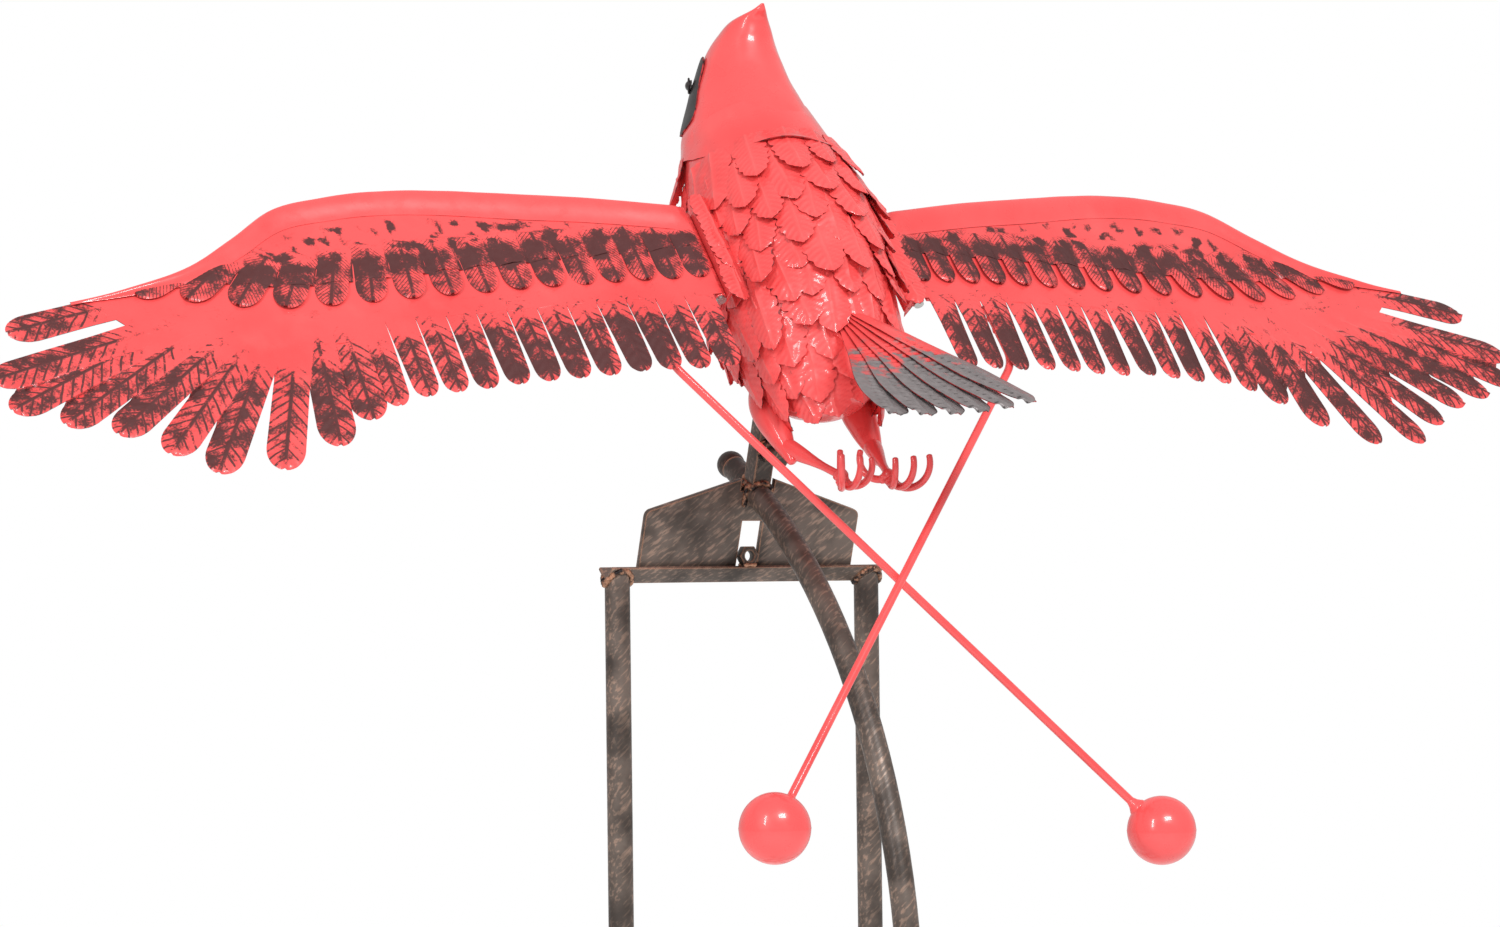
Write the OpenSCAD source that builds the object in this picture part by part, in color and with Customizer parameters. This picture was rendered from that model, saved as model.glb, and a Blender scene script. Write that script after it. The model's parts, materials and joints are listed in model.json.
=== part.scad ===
// Kinetic garden bird on a balance stand. A sheet-steel bird with two hinged wings stands on a
// rocker plate whose rounded knife edge rocks in a V trough. A long curved pendulum under the
// trough keeps it upright. Each wing is balanced by a ball on a rod that crosses under the body.
// Millimetres. Origin on the ground under the rocking axis, +Z up, -Y towards the beak,
// +X towards the bird's left wing.

/* [Stand] */
// Height of the rocking axis above the ground
axis_height = 1280; // [1250:5:1320]
// Distance between the two post centres
post_spacing = 287; // [284:1:292]
// Outside diameter of the posts and of the pendulum tube
tube_d = 25; // [24:0.5:25]
// Length of the front and rear floor rails
rail_length = 640; // [560:10:760]
// Distance between the centres of the two floor rails
rail_spacing = 520; // [440:10:640]
// Length of the V trough
trough_length = 313; // [312:1:320]

/* [Rocker] */
// Lean of the rocker plate and neck from upright, towards the tail, in degrees
neck_lean = 18; // [16:1:19]
// Half width of the rocker plate
plate_half_w = 122; // [118:1:126]
// Radius of the pendulum's curve
arc_r = 607; // [600:1:612]
// Angle of the pendulum's lower end, below the level of its centre, in degrees
arc_end = 95; // [90:1:100]
// Diameter of the counterweight ball
counterweight_d = 116; // [110:1:126]

/* [Bird] */
// Largest radius of the body shell
body_r = 91; // [88:1:92]
// Length of one body feather plate
leaf_l = 50; // [44:1:52]
// Width of one body feather plate
leaf_w = 33; // [28:1:34]
// Number of tail feathers
tail_count = 6; // [5:1:6]

/* [Wings] */
// Distance of each hinge axis from the bird's centre plane
hinge_x = 112; // [110:1:114]
// Pitch of the wing chord below level, in degrees
chord_pitch = 50; // [48:1:52]
// Droop of the left wing at rest, in degrees
left_droop = 8; // [6:1:9]
// Droop of the right wing at rest, in degrees
right_droop = 3; // [2:1:5]
// Diameter of the wing counterweight rods
rod_d = 8; // [7:0.5:9]
// Diameter of the wing counterweight balls
ball_d = 66; // [60:1:68]

/* [Hidden] */
$fn = 48;

// Paint colours
red = [0.93, 0.26, 0.24];
black = [0.2, 0.17, 0.17];
bronze = [0.32, 0.27, 0.23];
plastic = [0.08, 0.08, 0.08];

// Stand: steel section sizes
tube_wall = 2;
post_x = post_spacing / 2;
bar_w = 40;
bar_h = 20;
bar_wall = 2;
foot_w = 40;
foot_l = 90;
foot_t = 5;
bolt_offset = 30;
bolt_r = 4;
bolt_hole_r = 4.2;
anchor_r = 4.5;
anchor_inset = 25;
cap_t = 3;
plug_gap = 0.2;
plug_l = 10;
bolt_af = 13;
bolt_head_h = 5.5;
nut_h = 6.5;
bolt_reach = 9;

// Trough and knife edge: a 90 degree V with the knife cylinder resting in it
knife_r = 3;
knife_gap = 0.05;
trough_t = 3;
trough_leg = 14.5;
// How far the posts stop short of the trough's upper edges
post_drop = 3;
trough_drop = (knife_r + knife_gap + trough_t) * sqrt(2);
trough_z = axis_height - trough_drop;
nut_af = 19;
nut_t = 10;
nut_bore_r = 5.3;
nut_overhang = 1.2;

// Rocker plate and neck, in the leaning frame of the neck, measured from the rocking axis
plate_side_h = 68;
plate_peak_h = 99;
plate_peak_x = 19;
plate_corner_r = 8;
slot_half_w = 12;
slot_top = 56;
notch_depth = 12;
neck_side = 20;
neck_wall = 1.5;
neck_top = 160;
post_side = 16.8;
post_wall = 2;
// How far the bird's post stops above the middle of the pendulum tube's top
post_clear = 6;
seat_gap = 0.1;

// Pendulum: one arc in the plane x = 0
arc_y = -299.5;
arc_z = -430.5;
arc_start = 62.8;
end_ball_d = 28;
// Height at which the arc crosses the neck line, from the rocking axis
arc_dot = -arc_y * sin(neck_lean) - arc_z * cos(neck_lean);
seat_h = sqrt(pow(arc_dot, 2) - (pow(arc_y, 2) + pow(arc_z, 2) - pow(arc_r, 2))) - arc_dot;
seat_pitch = atan2(seat_h * sin(neck_lean) - arc_y, seat_h * cos(neck_lean) - arc_z);

// Clamp bolt on the tail side of the neck
clamp_h = 132;
clamp_r = 5;
clamp_nut_af = 17;
clamp_nut_t = 8;
clamp_len = 26;
clamp_head_af = 16;
clamp_head_h = 7;

// Body: a shell of revolution about the spine, from the rump up to the nape
rump = [0, 165, 191.5];
spine_angle = 30.3;
shell_t = 1.2;
// Shell profile: height above the rump and share of the largest radius
profile = [[-40, 0.10], [-34, 0.36], [-20, 0.56], [0, 0.72], [20, 0.82], [45, 0.91], [75, 0.965],
    [110, 0.99], [150, 1.0], [190, 0.97], [225, 0.90], [255, 0.81], [285, 0.72]];
first_row_z = 266;
row_step = 28;
leaf_t = 0.8;
leaf_gap = 2.6;
leaf_flare = 6;

// Head: level rings of the hood, as centre y, height, half depth and half width, from the
// rocking axis
hood_rings = [[44, 412, 87.5, 72], [26.5, 437, 79.5, 64], [15.7, 467, 69.2, 53],
    [9.5, 493, 55.5, 43.5], [9.5, 517, 42.5, 35.5], [16.5, 537, 29, 27], [30, 553, 16, 16],
    [46, 561, 6, 6], [52, 566, 1.5, 1.5]];
hood_sides = 40;
eye_r = 6;
eye_at = [41, -22, 489];

// Wing hinge, from the rocking axis
hinge_y = 83;
hinge_z = 352.5;
knuckle_r = 6;
pin_r = 3;
pin_gap = 0.05;
hinge_from = 6;
knuckle_l = 36;
knuckle_gap = 0.5;
hinge_to = hinge_from + 3 * knuckle_l + 2 * knuckle_gap;
// Body-side plate of the hinge, and wing-side plate
leaf_plate_t = 4;
leaf_plate_h = 24;
leaf_plate_down = 14;
wing_leaf_x = 8;
wing_leaf_w = 34;
wing_leaf_z = 3;
pin_head_l = 3;
pin_head_r = 5;

// Wing sheets, in the wing's frame: x outwards, y along the chord, z out of the upper side
panel_z = 6;
panel_t = 0.75;
covert_t = 0.6;
edge_h = 4;
edge_w = 34;
edge_wall = 0.8;
edge_from = 4;
edge_to = 590;
// Leading edge outline
lead = [[0, 0], [150, -30], [361, -46], [415, -35], [464, -2], [516, 31], [581, 52], [640, 62]];
// Primary feathers from the wing tip inwards: tip x, tip y, direction and free length
primaries = [[704, 91, 12, 130], [732, 149, 16, 195], [723, 185, 26, 215], [679, 206, 33, 210],
    [635, 224, 38, 205], [593, 251, 48, 205], [555, 278, 59, 200], [494, 282, 70, 190],
    [434, 261, 83, 160], [393, 233, 88, 130]];
primary_w = 36;
// Share of its full width that half a feather keeps at its root
primary_root = 0.42;
secondary_root = 0.62;
covert_root = 0.5;
// How far the sheet reaches over the root of each feather, and its width at the hinge
root_overlap = 36;
sheet_w = 114;
secondary_w = 25;
secondary_step = 31;
secondary_count = 12;
secondary_tip = 206;
secondary_l = 108;
covert_count = 16;
covert_l = 74;

// Extra radius of the weld bead at each bend of a rod
bead = 0.5;

// Wing rods: where they leave the wing, and the ball centres from the rocking axis
rod_r = rod_d / 2;
rod_x = 80;
rod_from = 118;
rod_bend = 190;
ball_x = 219;
ball_y = 420;
ball_z = -240;
rod_offset = 14;

// ---------- helpers ----------

// Frame whose origin is at one point and whose +Z runs to another
module along(p, q) {
    d = q - p;
    translate(p) rotate([0, acos(d[2] / norm(d)), atan2(d[1], d[0])]) children();
}

// Straight round bar between two points
module rod(p, q, r) {
    along(p, q) cylinder(h = norm(q - p), r = r);
}

// Bent round bar through a list of points, with a bead of weld at each bend
module bent_rod(points, r) {
    for (i = [0 : len(points) - 2])
        rod(points[i], points[i + 1], r);
    for (i = [1 : len(points) - 2])
        translate(points[i]) sphere(r = r + bead);
}

// Frame whose origin is on the rocking axis
module on_axis() {
    translate([0, 0, axis_height]) children();
}

// Leaning frame of the rocker plate and neck
module in_neck() {
    on_axis() rotate([-neck_lean, 0, 0]) children();
}

// Frame of the body: +Z up the spine, +Y out of the bird's back
module in_body() {
    on_axis() translate(rump) rotate([spine_angle, 0, 0]) children();
}

// Frame of one wing hinge: side 1 is the bird's left, -1 its right
module in_hinge(side) {
    mirror([side < 0 ? 1 : 0, 0, 0])
        on_axis() translate([hinge_x, hinge_y, hinge_z]) rotate([-chord_pitch, 0, 0]) children();
}

function droop(side) = side > 0 ? left_droop : right_droop;

module in_wing(side) {
    in_hinge(side) rotate([0, droop(side), 0]) children();
}

// A point of the wing's frame, measured from the rocking axis
function from_wing(side, p) =
    let (a = droop(side),
         x = p[0] * cos(a) + p[2] * sin(a),
         n = -p[0] * sin(a) + p[2] * cos(a))
    [side * (hinge_x + x),
     hinge_y + p[1] * cos(chord_pitch) + n * sin(chord_pitch),
     hinge_z - p[1] * sin(chord_pitch) + n * cos(chord_pitch)];

function shell_r(z) = body_r * lookup(z, profile);

// A point of the bird's left side, or its mirror image on the right
function sided(side, p) = [side * p[0], p[1], p[2]];

module hexagon(af, t, bore_r) {
    difference() {
        cylinder(h = t, r = af / sqrt(3), $fn = 6);
        translate([0, 0, -1]) cylinder(h = t + 2, r = bore_r);
    }
}

// ---------- stand ----------

module post(side) {
    bottom = bar_h + foot_t;
    top = trough_z + trough_leg - post_drop;
    color(bronze)
        difference() {
            translate([side * post_x, 0, bottom]) cylinder(h = top - bottom, d = tube_d);
            translate([side * post_x, 0, bottom - 1])
                cylinder(h = axis_height, d = tube_d - 2 * tube_wall);
            translate([0, 0, trough_z])
                rotate([90, 0, 90])
                    linear_extrude(height = 2 * post_spacing, center = true)
                        polygon([[0, 0], [tube_d, tube_d], [-tube_d, tube_d]]);
        }
}

module left_post() { post(1); }
module right_post() { post(-1); }

module foot_plates() {
    color(bronze)
        for (side = [-1, 1])
            translate([side * post_x, 0, bar_h])
                difference() {
                    translate([-foot_w / 2, -foot_l / 2, 0]) cube([foot_w, foot_l, foot_t]);
                    for (y = [-bolt_offset, bolt_offset])
                        translate([0, y, -1]) cylinder(h = foot_t + 2, r = bolt_hole_r);
                }
}

module side_bar(side) {
    bar_l = rail_spacing - bar_w;
    color(bronze)
        translate([side * post_x, 0, 0])
            difference() {
                translate([-bar_w / 2, -bar_l / 2, 0]) cube([bar_w, bar_l, bar_h]);
                translate([-bar_w / 2 + bar_wall, -bar_l / 2 - 1, bar_wall])
                    cube([bar_w - 2 * bar_wall, bar_l + 2, bar_h - 2 * bar_wall]);
                for (y = [-bolt_offset, bolt_offset])
                    translate([0, y, bar_h - bar_wall - 1])
                        cylinder(h = bar_wall + 2, r = bolt_hole_r);
            }
}

module left_side_bar() { side_bar(1); }
module right_side_bar() { side_bar(-1); }

module rail(end) {
    color(bronze)
        translate([0, end * rail_spacing / 2, 0])
            difference() {
                translate([-rail_length / 2, -bar_w / 2, 0]) cube([rail_length, bar_w, bar_h]);
                translate([-rail_length / 2 - 1, -bar_w / 2 + bar_wall, bar_wall])
                    cube([rail_length + 2, bar_w - 2 * bar_wall, bar_h - 2 * bar_wall]);
                for (side = [-1, 1])
                    translate([side * (rail_length / 2 - anchor_inset), 0, -1])
                        cylinder(h = bar_h + 2, r = anchor_r);
            }
}

module front_rail() { rail(-1); }
module rear_rail() { rail(1); }

module rail_end_caps() {
    plug_w = bar_w - 2 * bar_wall - 2 * plug_gap;
    plug_h = bar_h - 2 * bar_wall - 2 * plug_gap;
    color(plastic)
        for (side = [-1, 1], end = [-1, 1])
            translate([side * rail_length / 2, end * rail_spacing / 2, bar_h / 2])
                rotate([0, 0, side > 0 ? 0 : 180])
                    union() {
                        translate([0, -bar_w / 2, -bar_h / 2]) cube([cap_t, bar_w, bar_h]);
                        translate([-plug_l, -plug_w / 2, -plug_h / 2])
                            cube([plug_l + 1, plug_w, plug_h]);
                    }
}

module base_bolts() {
    color(bronze)
        for (side = [-1, 1], y = [-bolt_offset, bolt_offset])
            translate([side * post_x, y, bar_h + foot_t])
                union() {
                    translate([0, 0, -foot_t - bolt_reach])
                        cylinder(h = foot_t + bolt_reach + 1, r = bolt_r);
                    cylinder(h = bolt_head_h, r = bolt_af / sqrt(3), $fn = 6);
                }
}

module base_nuts() {
    color(bronze)
        for (side = [-1, 1], y = [-bolt_offset, bolt_offset])
            translate([side * post_x, y, bar_h - bar_wall - nut_h])
                hexagon(bolt_af, nut_h, bolt_r + pin_gap);
}

module trough() {
    edge = trough_t / sqrt(2);
    color(bronze)
        translate([0, 0, trough_z])
            rotate([90, 0, 90])
                linear_extrude(height = trough_length, center = true)
                    polygon([[0, 0], [trough_leg, trough_leg], [trough_leg - edge, trough_leg + edge],
                        [0, 2 * edge], [edge - trough_leg, trough_leg + edge],
                        [-trough_leg, trough_leg]]);
}

// A weld nut standing on the tail-side edge of the trough, inside the plate's slot
module keeper_nut() {
    edge = trough_t / sqrt(2);
    color(bronze)
        translate([0, trough_leg - edge - nut_t + nut_overhang, trough_z + trough_leg + edge + nut_af / 2])
            rotate([-90, 0, 0])
                hexagon(nut_af, nut_t, nut_bore_r);
}

// ---------- rocker ----------

// Straight stand-in for the pendulum tube where it crosses the plate, for the cuts around it
module tube_seat(extra) {
    translate([0, 0, seat_h])
        rotate([90 + neck_lean - seat_pitch, 0, 0])
            cylinder(h = 60, d = tube_d + extra, center = true);
}

module rocker_plate() {
    t = 2 * knife_r;
    w = plate_half_w;
    r = plate_corner_r;
    corner = [for (a = [0 : 15 : 60]) [w - r + r * cos(a), plate_side_h - r + r * sin(a)]];
    right_side = concat([[w, 0]], corner, [[plate_peak_x, plate_peak_h]]);
    left_side = [for (i = [len(right_side) - 1 : -1 : 0]) [-right_side[i][0], right_side[i][1]]];
    color(bronze)
        in_neck()
            difference() {
                union() {
                    rotate([90, 0, 0])
                        linear_extrude(height = t, center = true)
                            polygon(concat(right_side, left_side));
                    rotate([0, 90, 0]) cylinder(h = 2 * w, r = knife_r, center = true);
                }
                translate([-slot_half_w, -t, -t]) cube([2 * slot_half_w, 2 * t, slot_top + t]);
                translate([-plate_peak_x, -t, plate_peak_h - notch_depth])
                    cube([2 * plate_peak_x, 2 * t, 2 * notch_depth]);
                translate([-tube_d / 2, -t, seat_h]) cube([tube_d, 2 * t, plate_peak_h]);
                tube_seat(seat_gap);
            }
}

// Part of a torus in the plane x = 0, between two angles above the level of its centre
module arc_tube(r, from, to) {
    on_axis()
        translate([0, arc_y, arc_z])
            rotate([90, 0, 90])
                rotate([0, 0, from])
                    rotate_extrude(angle = to - from)
                        translate([arc_r, 0]) circle(r = r);
}

function on_arc(a) = [0, arc_y + arc_r * cos(a), arc_z + arc_r * sin(a)];

module pendulum_tube() {
    color(bronze)
        difference() {
            arc_tube(tube_d / 2, -arc_end, arc_start);
            arc_tube(tube_d / 2 - tube_wall, -arc_end - 1, arc_start + 1);
            on_axis() translate(on_arc(arc_start)) sphere(d = end_ball_d);
            on_axis() translate(on_arc(-arc_end)) sphere(d = counterweight_d);
        }
}

module tube_end_ball() {
    color(bronze) on_axis() translate(on_arc(arc_start)) sphere(d = end_ball_d);
}

module counterweight_ball() {
    color(bronze) on_axis() translate(on_arc(-arc_end)) sphere(d = counterweight_d);
}

module neck_socket() {
    inner = neck_side - 2 * neck_wall;
    color(bronze)
        in_neck()
            difference() {
                translate([-neck_side / 2, -neck_side / 2, seat_h])
                    cube([neck_side, neck_side, neck_top - seat_h]);
                translate([-inner / 2, -inner / 2, seat_h - 1])
                    cube([inner, inner, neck_top - seat_h + 2]);
                tube_seat(seat_gap);
                translate([0, 0, clamp_h])
                    rotate([-90, 0, 0]) cylinder(h = neck_side, r = clamp_r + seat_gap);
            }
}

module clamp_nut() {
    color(bronze)
        in_neck()
            translate([0, neck_side / 2, clamp_h])
                rotate([-90, 0, 0])
                    hexagon(clamp_nut_af, clamp_nut_t, clamp_r + pin_gap);
}

module clamp_bolt() {
    tip = post_side / 2 + pin_gap;
    color(bronze)
        in_neck()
            translate([0, tip, clamp_h])
                rotate([-90, 0, 0])
                    union() {
                        cylinder(h = clamp_len + 1, r = clamp_r);
                        translate([0, 0, clamp_len])
                            cylinder(h = clamp_head_h, r = clamp_head_af / sqrt(3), $fn = 6);
                    }
}

// Square post that plugs into the neck socket and carries the bird
cross_v = 35.4;
cross_side = 16;
cross_y = hinge_y + cross_v * cos(chord_pitch);
cross_z = hinge_z - cross_v * sin(chord_pitch);
bird_post_top = cross_y * sin(neck_lean) + cross_z * cos(neck_lean) - cross_side / 2;

bird_post_bottom = seat_h + tube_d / 2 + post_clear;

module square_bar(side, from, to) {
    in_neck() translate([-side / 2, -side / 2, from]) cube([side, side, to - from]);
}

module bird_post() {
    color(bronze)
        difference() {
            square_bar(post_side, bird_post_bottom, bird_post_top);
            square_bar(post_side - 2 * post_wall, bird_post_bottom - 1, bird_post_top + 1);
        }
}

module cross_bar_shape() {
    reach = hinge_x - knuckle_r - leaf_plate_t;
    on_axis()
        translate([-reach, cross_y, cross_z])
            rotate([-neck_lean, 0, 0])
                translate([0, -cross_side / 2, -cross_side / 2])
                    cube([2 * reach, cross_side, cross_side]);
}

module cross_bar() {
    color(red) cross_bar_shape();
}

// ---------- bird ----------

module body_solid(inset) {
    nape = profile[len(profile) - 1];
    bottom = profile[0][0] + inset;
    top = nape[0] + (inset > 0 ? 1 : 0);
    outline = [for (p = profile) [max(body_r * p[1] - inset, 0.5), max(p[0], bottom)]];
    in_body()
        rotate_extrude()
            polygon(concat([[0, top], [0, bottom]], outline, [[body_r * nape[1] - inset, top]]));
}

module body_shell() {
    color(red)
        difference() {
            body_solid(0);
            body_solid(shell_t);
            square_bar(post_side + 4 * seat_gap, bird_post_bottom, bird_post_top);
            cross_bar_shape();
        }
}

// Solid through level rings, each given as centre y, height, half depth and half width
module ring_loft(rings, grow) {
    n = hood_sides;
    m = len(rings);
    points = [for (g = rings, i = [0 : n - 1])
        [(g[3] + grow) * sin(360 * i / n), g[0] + (g[2] + grow) * cos(360 * i / n), g[1]]];
    sides = [for (k = [0 : m - 2], i = [0 : n - 1])
        [k * n + i, k * n + (i + 1) % n, (k + 1) * n + (i + 1) % n, (k + 1) * n + i]];
    bottom = [[for (i = [n - 1 : -1 : 0]) i]];
    top = [[for (i = [0 : n - 1]) (m - 1) * n + i]];
    on_axis() polyhedron(points = points, faces = concat(sides, bottom, top));
}

// Thin shell through level rings, open at its lowest ring
module ring_shell(rings, wall) {
    n = hood_sides;
    m = len(rings);
    w = m - 2;
    points = concat(
        [for (g = rings, i = [0 : n - 1])
            [g[3] * sin(360 * i / n), g[0] + g[2] * cos(360 * i / n), g[1]]],
        [for (k = [0 : w - 1], i = [0 : n - 1])
            let (g = rings[k])
            [(g[3] - wall) * sin(360 * i / n), g[0] + (g[2] - wall) * cos(360 * i / n), g[1]]]);
    outer = [for (k = [0 : m - 2], i = [0 : n - 1])
        [k * n + i, k * n + (i + 1) % n, (k + 1) * n + (i + 1) % n, (k + 1) * n + i]];
    inner = [for (k = [0 : w - 2], i = [0 : n - 1])
        [(m + k) * n + i, (m + k + 1) * n + i, (m + k + 1) * n + (i + 1) % n,
            (m + k) * n + (i + 1) % n]];
    rim = [for (i = [0 : n - 1]) [i, m * n + i, m * n + (i + 1) % n, (i + 1) % n]];
    top = [[for (i = [0 : n - 1]) (m - 1) * n + i]];
    ceiling = [[for (i = [n - 1 : -1 : 0]) (m + w - 1) * n + i]];
    on_axis() polyhedron(points = points, faces = concat(outer, inner, rim, top, ceiling));
}

module hood() {
    color(red) ring_shell(hood_rings, 1.6);
}

module face_mask() {
    front = [for (g = hood_rings) if (g[1] > 430 && g[1] < 530) g];
    color(black)
        difference() {
            ring_loft(front, 1.6);
            ring_loft([for (g = front) [g[0], g[1] + 0.001, g[2], g[3]]], 0.1);
            on_axis() translate([-100, 8, 300]) cube([200, 200, 300]);
            on_axis() translate([-100, -150, 300]) cube([200, 200, 140]);
            on_axis() translate([-100, -150, 514]) cube([200, 200, 100]);
        }
}

beak_at = [0, -46, 478];
beak_l = 42;
beak_drop = 14;

module beak_half(up) {
    on_axis()
        translate(beak_at)
            rotate([90 + beak_drop, 0, 0])
                difference() {
                    cylinder(h = up > 0 ? beak_l : beak_l - 8, r1 = 15, r2 = 1.5);
                    translate([-20, up > 0 ? -40.2 : 0, -1]) cube([40, 40.2, beak_l + 2]);
                }
}

module upper_beak() { color(red) beak_half(1); }
module lower_beak() { color(red) beak_half(-1); }

module eyes() {
    color(plastic)
        for (side = [-1, 1])
            on_axis() translate(sided(side, eye_at)) sphere(r = eye_r);
}

// One leaf-shaped feather plate: root at the origin, tip towards -Z, flat side facing +X
module leaf() {
    half = [for (k = [0 : 8])
        let (s = k / 8)
        [leaf_w / 2 * min(1, 0.62 + 1.6 * s) * sqrt(max(0, 1 - pow(max(0, (s - 0.45) / 0.55), 2))),
         -leaf_l * s]];
    other = [for (k = [7 : -1 : 0]) [-half[k][0], half[k][1]]];
    rotate([90, 0, 90]) linear_extrude(height = leaf_t) polygon(concat(half, other));
}

// Ring of feather plates round the body, left open where the wing hinges stand off the shell
// and where the hood covers it
module leaf_row(row) {
    z = first_row_z - row * row_step;
    r = shell_r(z);
    count = floor(2 * PI * (r + leaf_gap) / (leaf_w + 3));
    slope = atan2(shell_r(z - leaf_l) - r, leaf_l);
    in_body()
        for (i = [0 : count - 1]) {
            turn = 90 + 360 * (i + (row % 2) / 2) / count;
            at_hinge = abs(cos(turn)) > 0.88 && z > 80 && z < 260;
            at_post = sin(turn) < -0.86 && z < 110;
            under_hood = row == 0 && sin(turn) > -0.3;
            if (!at_hinge && !at_post && !under_hood)
                rotate([0, 0, turn])
                    translate([r + leaf_gap, 0, z])
                        rotate([0, -slope - leaf_flare, 0]) leaf();
        }
}

module collar_feathers() { color(red) for (row = [0, 1]) leaf_row(row); }
module shoulder_feathers() { color(red) for (row = [2, 3]) leaf_row(row); }
module mantle_feathers() { color(red) for (row = [4, 5]) leaf_row(row); }
module back_feathers() { color(red) for (row = [6, 7]) leaf_row(row); }
module rump_feathers() { color(red) for (row = [8, 9]) leaf_row(row); }

// Tail frame: origin at the root, +Y along the tail, +Z out of its upper side
tail_root = [0, 203, 241];
tail_slope = 25;
tail_l = 244;
tail_w = 38;
tail_fan = 36;
tail_t = 1;

module in_tail() {
    on_axis() translate(tail_root) rotate([-tail_slope, 0, 0]) children();
}

module tail_mount() {
    color(red)
        difference() {
            in_tail() translate([-24, -8, -3]) cube([48, 50, 3]);
            body_solid(0);
        }
}

module tail_feathers() {
    color(black)
        difference() {
            in_tail()
                for (i = [0 : tail_count - 1])
                    translate([0, 0, (tail_count - 1 - i) * (tail_t + 0.4)])
                        rotate([0, 0, tail_fan * (0.5 - i / (tail_count - 1))])
                            linear_extrude(height = tail_t)
                                polygon([[-9, 0], [9, 0], [tail_w / 2 - 3, 90],
                                    [tail_w / 2, tail_l - 34], [tail_w / 2 - 8, tail_l - 12],
                                    [2, tail_l], [-tail_w / 2 + 5, tail_l - 10],
                                    [-tail_w / 2, tail_l - 34], [-tail_w / 2 + 3, 90]]);
            body_solid(0);
        }
}

// Legs, from the rocking axis
thigh_top = [52, 116, 186];
knee = [49, 178, 112];
ankle = [27, 236, 92];
thigh_r = 17;
shank_r = 4.5;
toe_r = 3.6;
toe_curl = 22;

// Teardrop pod, round at the body and narrow at the knee
module thigh_pod(side, inset) {
    length = norm(knee - thigh_top) + 6;
    outline = [for (s = [0 : 0.1 : 1])
        [thigh_r * sin(180 * pow(s, 0.72)) * (1 - 0.3 * s) + 5 * s - inset, (length - 2 * inset) * s]];
    on_axis()
        along(sided(side, thigh_top), sided(side, knee))
            rotate_extrude()
                polygon(concat([[0, inset]], [for (p = outline) [max(p[0], 0), p[1] + inset]],
                    [[0, length - inset]]));
}

module thigh(side) {
    color(red)
        difference() {
            thigh_pod(side, 0);
            thigh_pod(side, shell_t);
            body_solid(0);
            on_axis() rod(sided(side, knee - [0, 8, -10]), sided(side, ankle), shank_r);
        }
}

module left_thigh() { thigh(1); }
module right_thigh() { thigh(-1); }

module shank(side) {
    color(red)
        on_axis()
            difference() {
                rod(sided(side, knee - [0, 8, -10]), sided(side, ankle), shank_r);
                translate(sided(side, ankle)) sphere(r = 7);
            }
}

module left_shank() { shank(1); }
module right_shank() { shank(-1); }

// A toe is a hooked rod: it dips from the ankle, runs out and curls up to its blunt claw
module toe(spread, curl, lift, sweep) {
    points = [for (k = [0 : 4])
        let (a = 180 + lift + sweep * k / 4, out = curl * (cos(lift) + cos(a)))
        [out * cos(spread), out * sin(spread), curl * (sin(lift) + sin(a))]];
    bent_rod(points, toe_r);
}

module foot(side) {
    color(red)
        on_axis()
            translate(sided(side, ankle))
                union() {
                    sphere(r = 7);
                    for (k = [-1 : 1])
                        toe(90 - side * (4 + 26 * k), toe_curl + 2 * k, 30, 165);
                    toe(90 + side * 150, 21, 58, 140);
                }
}

module left_foot() { foot(1); }
module right_foot() { foot(-1); }

// ---------- wing hinges ----------

module hinge_leaf(side) {
    color(red)
        in_hinge(side)
            difference() {
                union() {
                    for (k = [0, 2])
                        translate([0, hinge_from + k * (knuckle_l + knuckle_gap), 0])
                            rotate([-90, 0, 0]) cylinder(h = knuckle_l, r = knuckle_r);
                    for (k = [0, 2])
                        translate([-knuckle_r, hinge_from + k * (knuckle_l + knuckle_gap), -knuckle_r])
                            cube([knuckle_r, knuckle_l, knuckle_r]);
                    translate([-knuckle_r - leaf_plate_t, hinge_from, -leaf_plate_down])
                        cube([leaf_plate_t, hinge_to - hinge_from, leaf_plate_h]);
                }
                translate([0, hinge_from - 1, 0])
                    rotate([-90, 0, 0]) cylinder(h = hinge_to, r = pin_r);
            }
}

module left_hinge_leaf() { hinge_leaf(1); }
module right_hinge_leaf() { hinge_leaf(-1); }

module hinge_pin(side) {
    color(bronze)
        in_hinge(side)
            rotate([-90, 0, 0])
                union() {
                    translate([0, 0, hinge_from - 2])
                        cylinder(h = hinge_to - hinge_from + 4, r = pin_r);
                    translate([0, 0, hinge_from - pin_head_l])
                        cylinder(h = pin_head_l, r = pin_head_r);
                    translate([0, 0, hinge_to]) cylinder(h = pin_head_l, r = pin_head_r);
                }
}

module left_hinge_pin() { hinge_pin(1); }
module right_hinge_pin() { hinge_pin(-1); }

module wing_leaf(side) {
    from = hinge_from + knuckle_l + knuckle_gap;
    color(red)
        in_wing(side)
            difference() {
                union() {
                    translate([0, from, 0])
                        rotate([-90, 0, 0]) cylinder(h = knuckle_l, r = knuckle_r);
                    translate([0, from, wing_leaf_z])
                        cube([2 * knuckle_r, knuckle_l, panel_z - wing_leaf_z]);
                    translate([wing_leaf_x, hinge_from, wing_leaf_z])
                        cube([wing_leaf_w, hinge_to - hinge_from, panel_z - wing_leaf_z]);
                }
                translate([0, from - 1, 0])
                    rotate([-90, 0, 0]) cylinder(h = knuckle_l + 2, r = pin_r + pin_gap);
            }
}

module left_wing_leaf() { wing_leaf(1); }
module right_wing_leaf() { wing_leaf(-1); }

// ---------- wings ----------

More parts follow.
